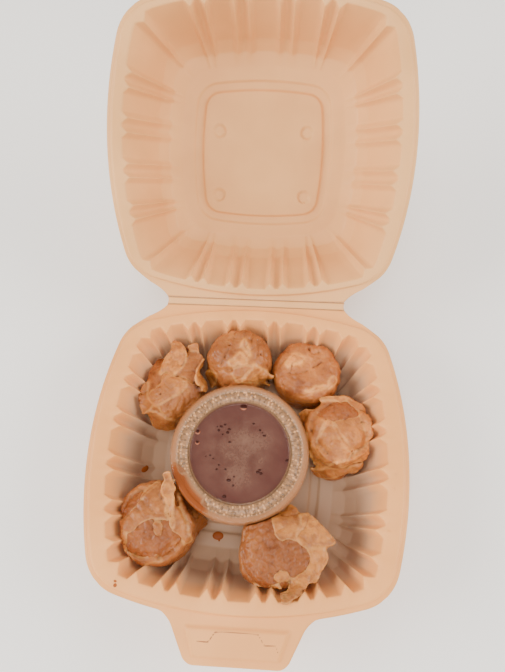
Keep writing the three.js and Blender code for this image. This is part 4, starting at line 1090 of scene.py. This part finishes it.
# Rings of a pouch as shares of its half width and height: gathered at the top, open, flat like a drum,
# and the meat inside.
GATHERED = ((0.7, 0), (0.82, 0.06), (0.92, 0.2), (0.99, 0.38), (1, 0.55), (0.98, 0.7), (0.91, 0.82),
            (0.78, 0.91), (0.58, 0.97), (0.34, 1), (0.1, 1))
OPEN = ((0.7, 0), (0.82, 0.06), (0.92, 0.2), (0.99, 0.38), (1.01, 0.6), (1, 0.8), (0.97, 0.93),
        (0.9, 0.97), (0.6, 0.9), (0.1, 0.88))
DRUM = ((0.7, 0), (0.82, 0.06), (0.92, 0.2), (0.99, 0.38), (1.01, 0.6), (1, 0.76), (0.96, 0.87),
        (0.87, 0.94), (0.7, 0.98), (0.4, 1), (0.1, 1))
MEAT = ((0.6, 0.3), (0.9, 0.45), (1, 0.66), (0.98, 0.84), (0.88, 0.94), (0.74, 1), (0.5, 1.03),
        (0.1, 1.05))
PLEATS = 13


def pouch(rings, at, size, height, lean, lobes, share=1.0, pleat=0.028):
    """The closed body of a dumpling, or of its meat, lobed and pleated towards the top."""
    body = bmesh.new()
    sides = 84
    label = body.verts.layers.int.new("station")
    verts = bmesh.ops.create_circle(body, segments=sides, radius=1)["verts"]
    for i, vert in enumerate(verts):
        vert[label] = i
    edges = body.edges[:]
    bottom = edges[:]
    for row, (r, level) in enumerate(rings):
        if row:
            edges, verts = extruded(body, edges)
        for vert in verts:
            phi = 2 * math.pi * vert[label] / sides
            lobe = sum(depth * math.cos(n * phi + phase) for n, phase, depth in lobes)
            fold = pleat * level * abs(math.sin(0.5 * PLEATS * phi + 2 * math.sin(3 * phi))) ** 0.7
            wide = share * r * (1 + lobe * min(1, 0.3 + level) - fold)
            vert.co = (at[0] + lean[0] * level + size[0] * wide * math.cos(phi),
                       at[1] + lean[1] * level + size[1] * wide * math.sin(phi),
                       POT_GAP + level * (height - POT_GAP) - DEPTH)
    bmesh.ops.contextual_create(body, geom=edges)
    bmesh.ops.contextual_create(body, geom=bottom)
    bmesh.ops.triangulate(body, faces=[f for f in body.faces if len(f.verts) > 4])
    bmesh.ops.recalc_face_normals(body, faces=body.faces)
    return body


def one_skin(pile, voxel):
    """The outer skin of everything in the pile, as one even mesh."""
    mesh = bpy.data.meshes.new("pile")
    pile.to_mesh(mesh)
    pile.free()
    lump = bpy.data.objects.new("pile", mesh)
    bpy.context.scene.collection.objects.link(lump)
    remesh = lump.modifiers.new("fuse", "REMESH")
    remesh.mode = "VOXEL"
    remesh.voxel_size = voxel
    bm = bmesh.new()
    bm.from_mesh(lump.evaluated_get(bpy.context.evaluated_depsgraph_get()).to_mesh())
    lump.to_mesh_clear()
    bpy.data.objects.remove(lump)
    bpy.data.meshes.remove(mesh)
    return bm


def main_part(bm):
    """Drops crumbs that hang loose from the main skin."""
    unseen, parts = set(bm.verts), []
    while unseen:
        part, edge = set(), [unseen.pop()]
        while edge:
            vert = edge.pop()
            part.add(vert)
            for other in (e.other_vert(vert) for e in vert.link_edges):
                if other in unseen:
                    unseen.discard(other)
                    edge.append(other)
        parts.append(part)
    biggest = max(parts, key=len)
    bmesh.ops.delete(bm, geom=[v for v in bm.verts if v not in biggest], context="VERTS")
    return bm


def swollen(bm, amount):
    """Moves the skin out along its normals, or in."""
    bm.normal_update()
    moved = [(v, v.co + v.normal * amount) for v in bm.verts]
    for vert, co in moved:
        vert.co = co
    return bm


def fused(pile, voxel, swell=0.75):
    """Fuses the pile into one skin; swelling and shrinking it again closes the cracks under the laps."""
    puffed = eased(swollen(one_skin(pile, voxel), swell), 1)
    return eased(swollen(eased(main_part(one_skin(puffed, voxel)), 2), -swell), 2)


def wrinkles(co, seed, coarse, fine):
    """How far the skin stands out at a place: soft creases with small bumps on them."""
    place = co + Vector((seed * 17.3, seed * 5.1, 0))
    crease = abs(noise.noise(place * 0.16 + Vector((0, 0, 9)))) ** 0.6
    return coarse * (crease - 0.4) + fine * noise.fractal(place * 0.55, 0.9, 2.1, 3)


def floor_under(x, y):
    """How high the tray's sheet lies under a place."""
    hit = tray_skin.ray_cast(Vector((x, y, 6)), Vector((0, 0, -1)))[0]
    return hit.z if hit else -DEPTH


WALL_CLEAR, POT_CLEAR, FLOOR_CLEAR, SKIRT_CLEAR, NEIGHBOUR_CLEAR = 0.2, 0.3, 0.2, 0.35, 0.15
LEAN_FROM = 20  # height over the floor from which a dumpling may lean over its neighbour


def kept_clear(co, index):
    """The place drawn in to its dumpling's axis, clear of walls and neighbours, and out of the pot."""
    x, y = DUMPLINGS[index]["at"]
    axis = Vector((x, y, max(co.z, floor_under(x, y) + 2 * FLOOR_CLEAR)))
    out = Vector((co.x, co.y, axis.z)) - axis
    far = out.length
    if far > 0.001:
        out /= far
        for wall, clear in ((room_skin, 0.0), (tray_skin, WALL_CLEAR)):
            hit, _, _, away = wall.ray_cast(axis, out, far + 1)
            if hit:
                far = min(far, away - clear)
        for other, share in NEIGHBOURS.get(index, ()):
            across = (Vector(DUMPLINGS[other]["at"]) - Vector(DUMPLINGS[index]["at"])).to_3d()
            facing = out.dot(across.normalized())
            if facing > 0:
                over = 0.35 * max(0.0, axis.z + DEPTH - LEAN_FROM)
                far = min(far, (share * across.length - NEIGHBOUR_CLEAR + over) / facing)
    co = axis + out * far
    x, y, h = co.x - POT_AT[0], co.y - POT_AT[1], co.z + DEPTH - POT_GAP
    away = math.hypot(x, y)
    sink = h - (LID_SKIRT - SKIRT_CLEAR)
    if h > LID_SKIRT - SKIRT_CLEAR:
        least = LID_RADIUS + POT_CLEAR
        if away < least and h < LID_TOP + 3:
            if sink < least - away and away > POT_MOUTH + 0.4:
                h -= sink
            else:
                x, y = x * least / away, y * least / away
    else:
        least = pot_radius(h) + POT_CLEAR
        if away < least:
            x, y = x * least / away, y * least / away
    x, y = x + POT_AT[0], y + POT_AT[1]
    return Vector((x, y, max(h - DEPTH + POT_GAP, floor_under(x, y) + FLOOR_CLEAR)))


def contact_share(a, b):
    mine, theirs = (sum(DUMPLINGS[i]["size"]) for i in (a, b))
    return b, mine / (mine + theirs)


NEIGHBOURS = {0: [contact_share(0, 1)], 1: [contact_share(1, 0), contact_share(1, 2)],
              2: [contact_share(2, 1), contact_share(2, 3)], 3: [contact_share(3, 2)]}


def creased(co, creases):
    """How deep the creases pressed into the skin are at a place; a ridge has a negative depth."""
    return sum(depth * math.exp(-(distance_to_path(co.x, co.y, path) / wide) ** 2)
               for path, wide, depth in creases)


def finished(bm, index, coarse, fine, edges=(), tops=(), creases=()):
    """Wrinkles the fused skin, keeps it clear of what is round it, and marks what colours it."""
    bm.normal_update()
    start = [(v, v.co.copy(), v.normal.copy()) for v in bm.verts]
    for vert, co, normal in start:
        out = wrinkles(co, index, coarse, fine) - max(0.0, normal.z) * creased(co, creases)
        vert.co = kept_clear(co + normal * out, index)
    bm.normal_update()
    fold_shade = bm.verts.layers.float.new("fold_shade")
    thin = bm.verts.layers.float.new("thin")
    folded = bm.verts.layers.float.new("folded")
    # How far the skin is sunk in at each place, for the painted shade in its folds and hollows.
    raw = {}
    for vert in bm.verts:
        around = sum((e.other_vert(vert).co for e in vert.link_edges), Vector()) / len(vert.link_edges)
        raw[vert] = (around - vert.co).dot(vert.normal)
    for _ in range(4):
        raw = {v: 0.4 * value + 0.6 * sum(raw[e.other_vert(v)] for e in v.link_edges) / len(v.link_edges)
               for v, value in raw.items()}
    tree = nearest_of(edges)
    cover = nearest_of([place for place, _ in tops])
    for vert in bm.verts:
        vert[fold_shade] = raw[vert]
        if edges:
            vert[thin] = math.exp(-(tree.find(vert.co)[2] / 1.1) ** 2)
            _, nearest, away = cover.find(vert.co)
            vert[folded] = tops[nearest][1] * math.exp(-(away / 1.5) ** 2)
    bmesh.ops.transform(bm, matrix=TRAY, verts=bm.verts)
    return bm


def moist(name, colors, tint, seed):
    """Moist steamed dough or meat: painted shade darkens its folds and hollows, and it is paler and
    thinner along its edges.
    """
    deep, middle, light, lap, edge = (srgb(*(c * tint for c in color)) for color in colors)
    finish = Finish(name, middle, 0.42, Subsurface_Weight=0.35, Subsurface_Scale=0.001, Coat_Weight=0.14,
                    Coat_Roughness=0.12, Specular_IOR_Level=0.22)
    finish.shader.inputs["Subsurface Radius"].default_value = (2.6, 1.2, 0.6)
    cloud = finish.noise(115 + seed, 4)
    base = finish.mix(finish.range(cloud, 0.33, 0.5), deep, middle)
    base = finish.mix(finish.range(cloud, 0.5, 0.68), base, light)
    base = finish.mix(finish.range(finish.attribute("folded"), 0.0, 1.0), base, lap)
    base = finish.mix(finish.range(finish.noise(280 + seed, 3), 0.42, 0.66, 0, 0.75), base, middle)
    base = finish.mix(finish.range(finish.noise(75 + seed, 3), 0.46, 0.62, 0, 0.4), base, deep)
    base = finish.mix(finish.range(finish.attribute("thin"), 0.3, 1.0, 0, 0.4), base, edge)
    # Painted shade: the skin is darkened where it is sunk in, in its folds and hollows.
    fold_shade_color = tuple(c * 0.45 for c in deep)
    base = finish.mix(finish.range(finish.attribute("fold_shade"), 0.01, 0.09, 0, 0.85), base, fold_shade_color)
    finish.color(base)
    finish.bump(finish.noise(1300, 3), 0.00016, 0.5)
    finish.bump(finish.noise(420, 3), 0.0007, 0.6)
    return finish.material


# Colours from the deepest mottling to the thin edges: deep, middle, light, lap and edge. The painted shade
# in the folds is the deep colour darkened further.
WRAPPER_COLORS = ((132, 72, 34), (170, 102, 52), (194, 124, 66), (220, 144, 70), (238, 176, 104))
MEAT_COLORS = ((134, 72, 34), (162, 92, 44), (182, 110, 54), (188, 112, 56), (196, 122, 64))
SPECK_WIDTH, SPECK_DEPTH = 0.4, 1.3
SKIN_VOXEL, MEAT_VOXEL = 0.42, 0.5
for index, dumpling in enumerate(DUMPLINGS):
    laps, filling, tint = (dumpling.pop(key) for key in ("laps", "filling", "tint"))
    lumps, creases, specks = (dumpling.pop(key, []) for key in ("lumps", "creases", "specks"))
    creases += [(((x, y), (x + 0.3, y)), SPECK_WIDTH, SPECK_DEPTH) for x, y in specks]
    rise = dumpling.pop("meat_rise", 1.0)
    number = index + 1
    pile = pouch(OPEN if filling else DRUM if index == 2 else GATHERED, **dumpling)
    meat_size = {**dumpling, "height": rise * dumpling["height"], "pleat": 0}
    for x, y, h, wide, high in lumps:
        lump = bmesh.ops.create_icosphere(pile, subdivisions=4, radius=1)["verts"]
        bmesh.ops.scale(pile, verts=lump, vec=(wide, wide, high))
        bmesh.ops.translate(pile, verts=lump, vec=(x, y, h - DEPTH))
    core = pile.copy()
    if filling:
        add_to(core, pouch(MEAT, **meat_size, share=filling))
    pouch_skin = BVHTree.FromBMesh(core)
    core.free()
    heart = Vector((*dumpling["at"], 0.3 * dumpling["height"] - DEPTH))
    edges, tops = [], []
    for lap in laps:
        pale = lap.pop("pale")
        ring, covered = wrapper_lap(pile, pouch_skin, heart, **lap)
        edges += ring
        tops += [(place, pale) for place in covered]
    for vert in pile.verts:
        vert.co = kept_clear(vert.co, index)
    skin = finished(fused(pile, SKIN_VOXEL), index, 0.9, 0.25, edges, tops, creases)
    wrapper = moist(f"steamed_wrapper_{number}", WRAPPER_COLORS, tint, index)
    piece_from(skin, f"wrapper_{number}", "tray", "wrapper", wrapper, f"siu_mai_{number}")
    if filling:
        meat = fused(pouch(MEAT, **meat_size, share=filling + 0.02), MEAT_VOXEL)
        meat = finished(meat, index, 0.6, 0.6)
        mince = moist(f"minced_filling_{number}", MEAT_COLORS, tint, index)
        piece_from(meat, f"meat_{number}", "tray", "filling", mince, f"filling_{number}")
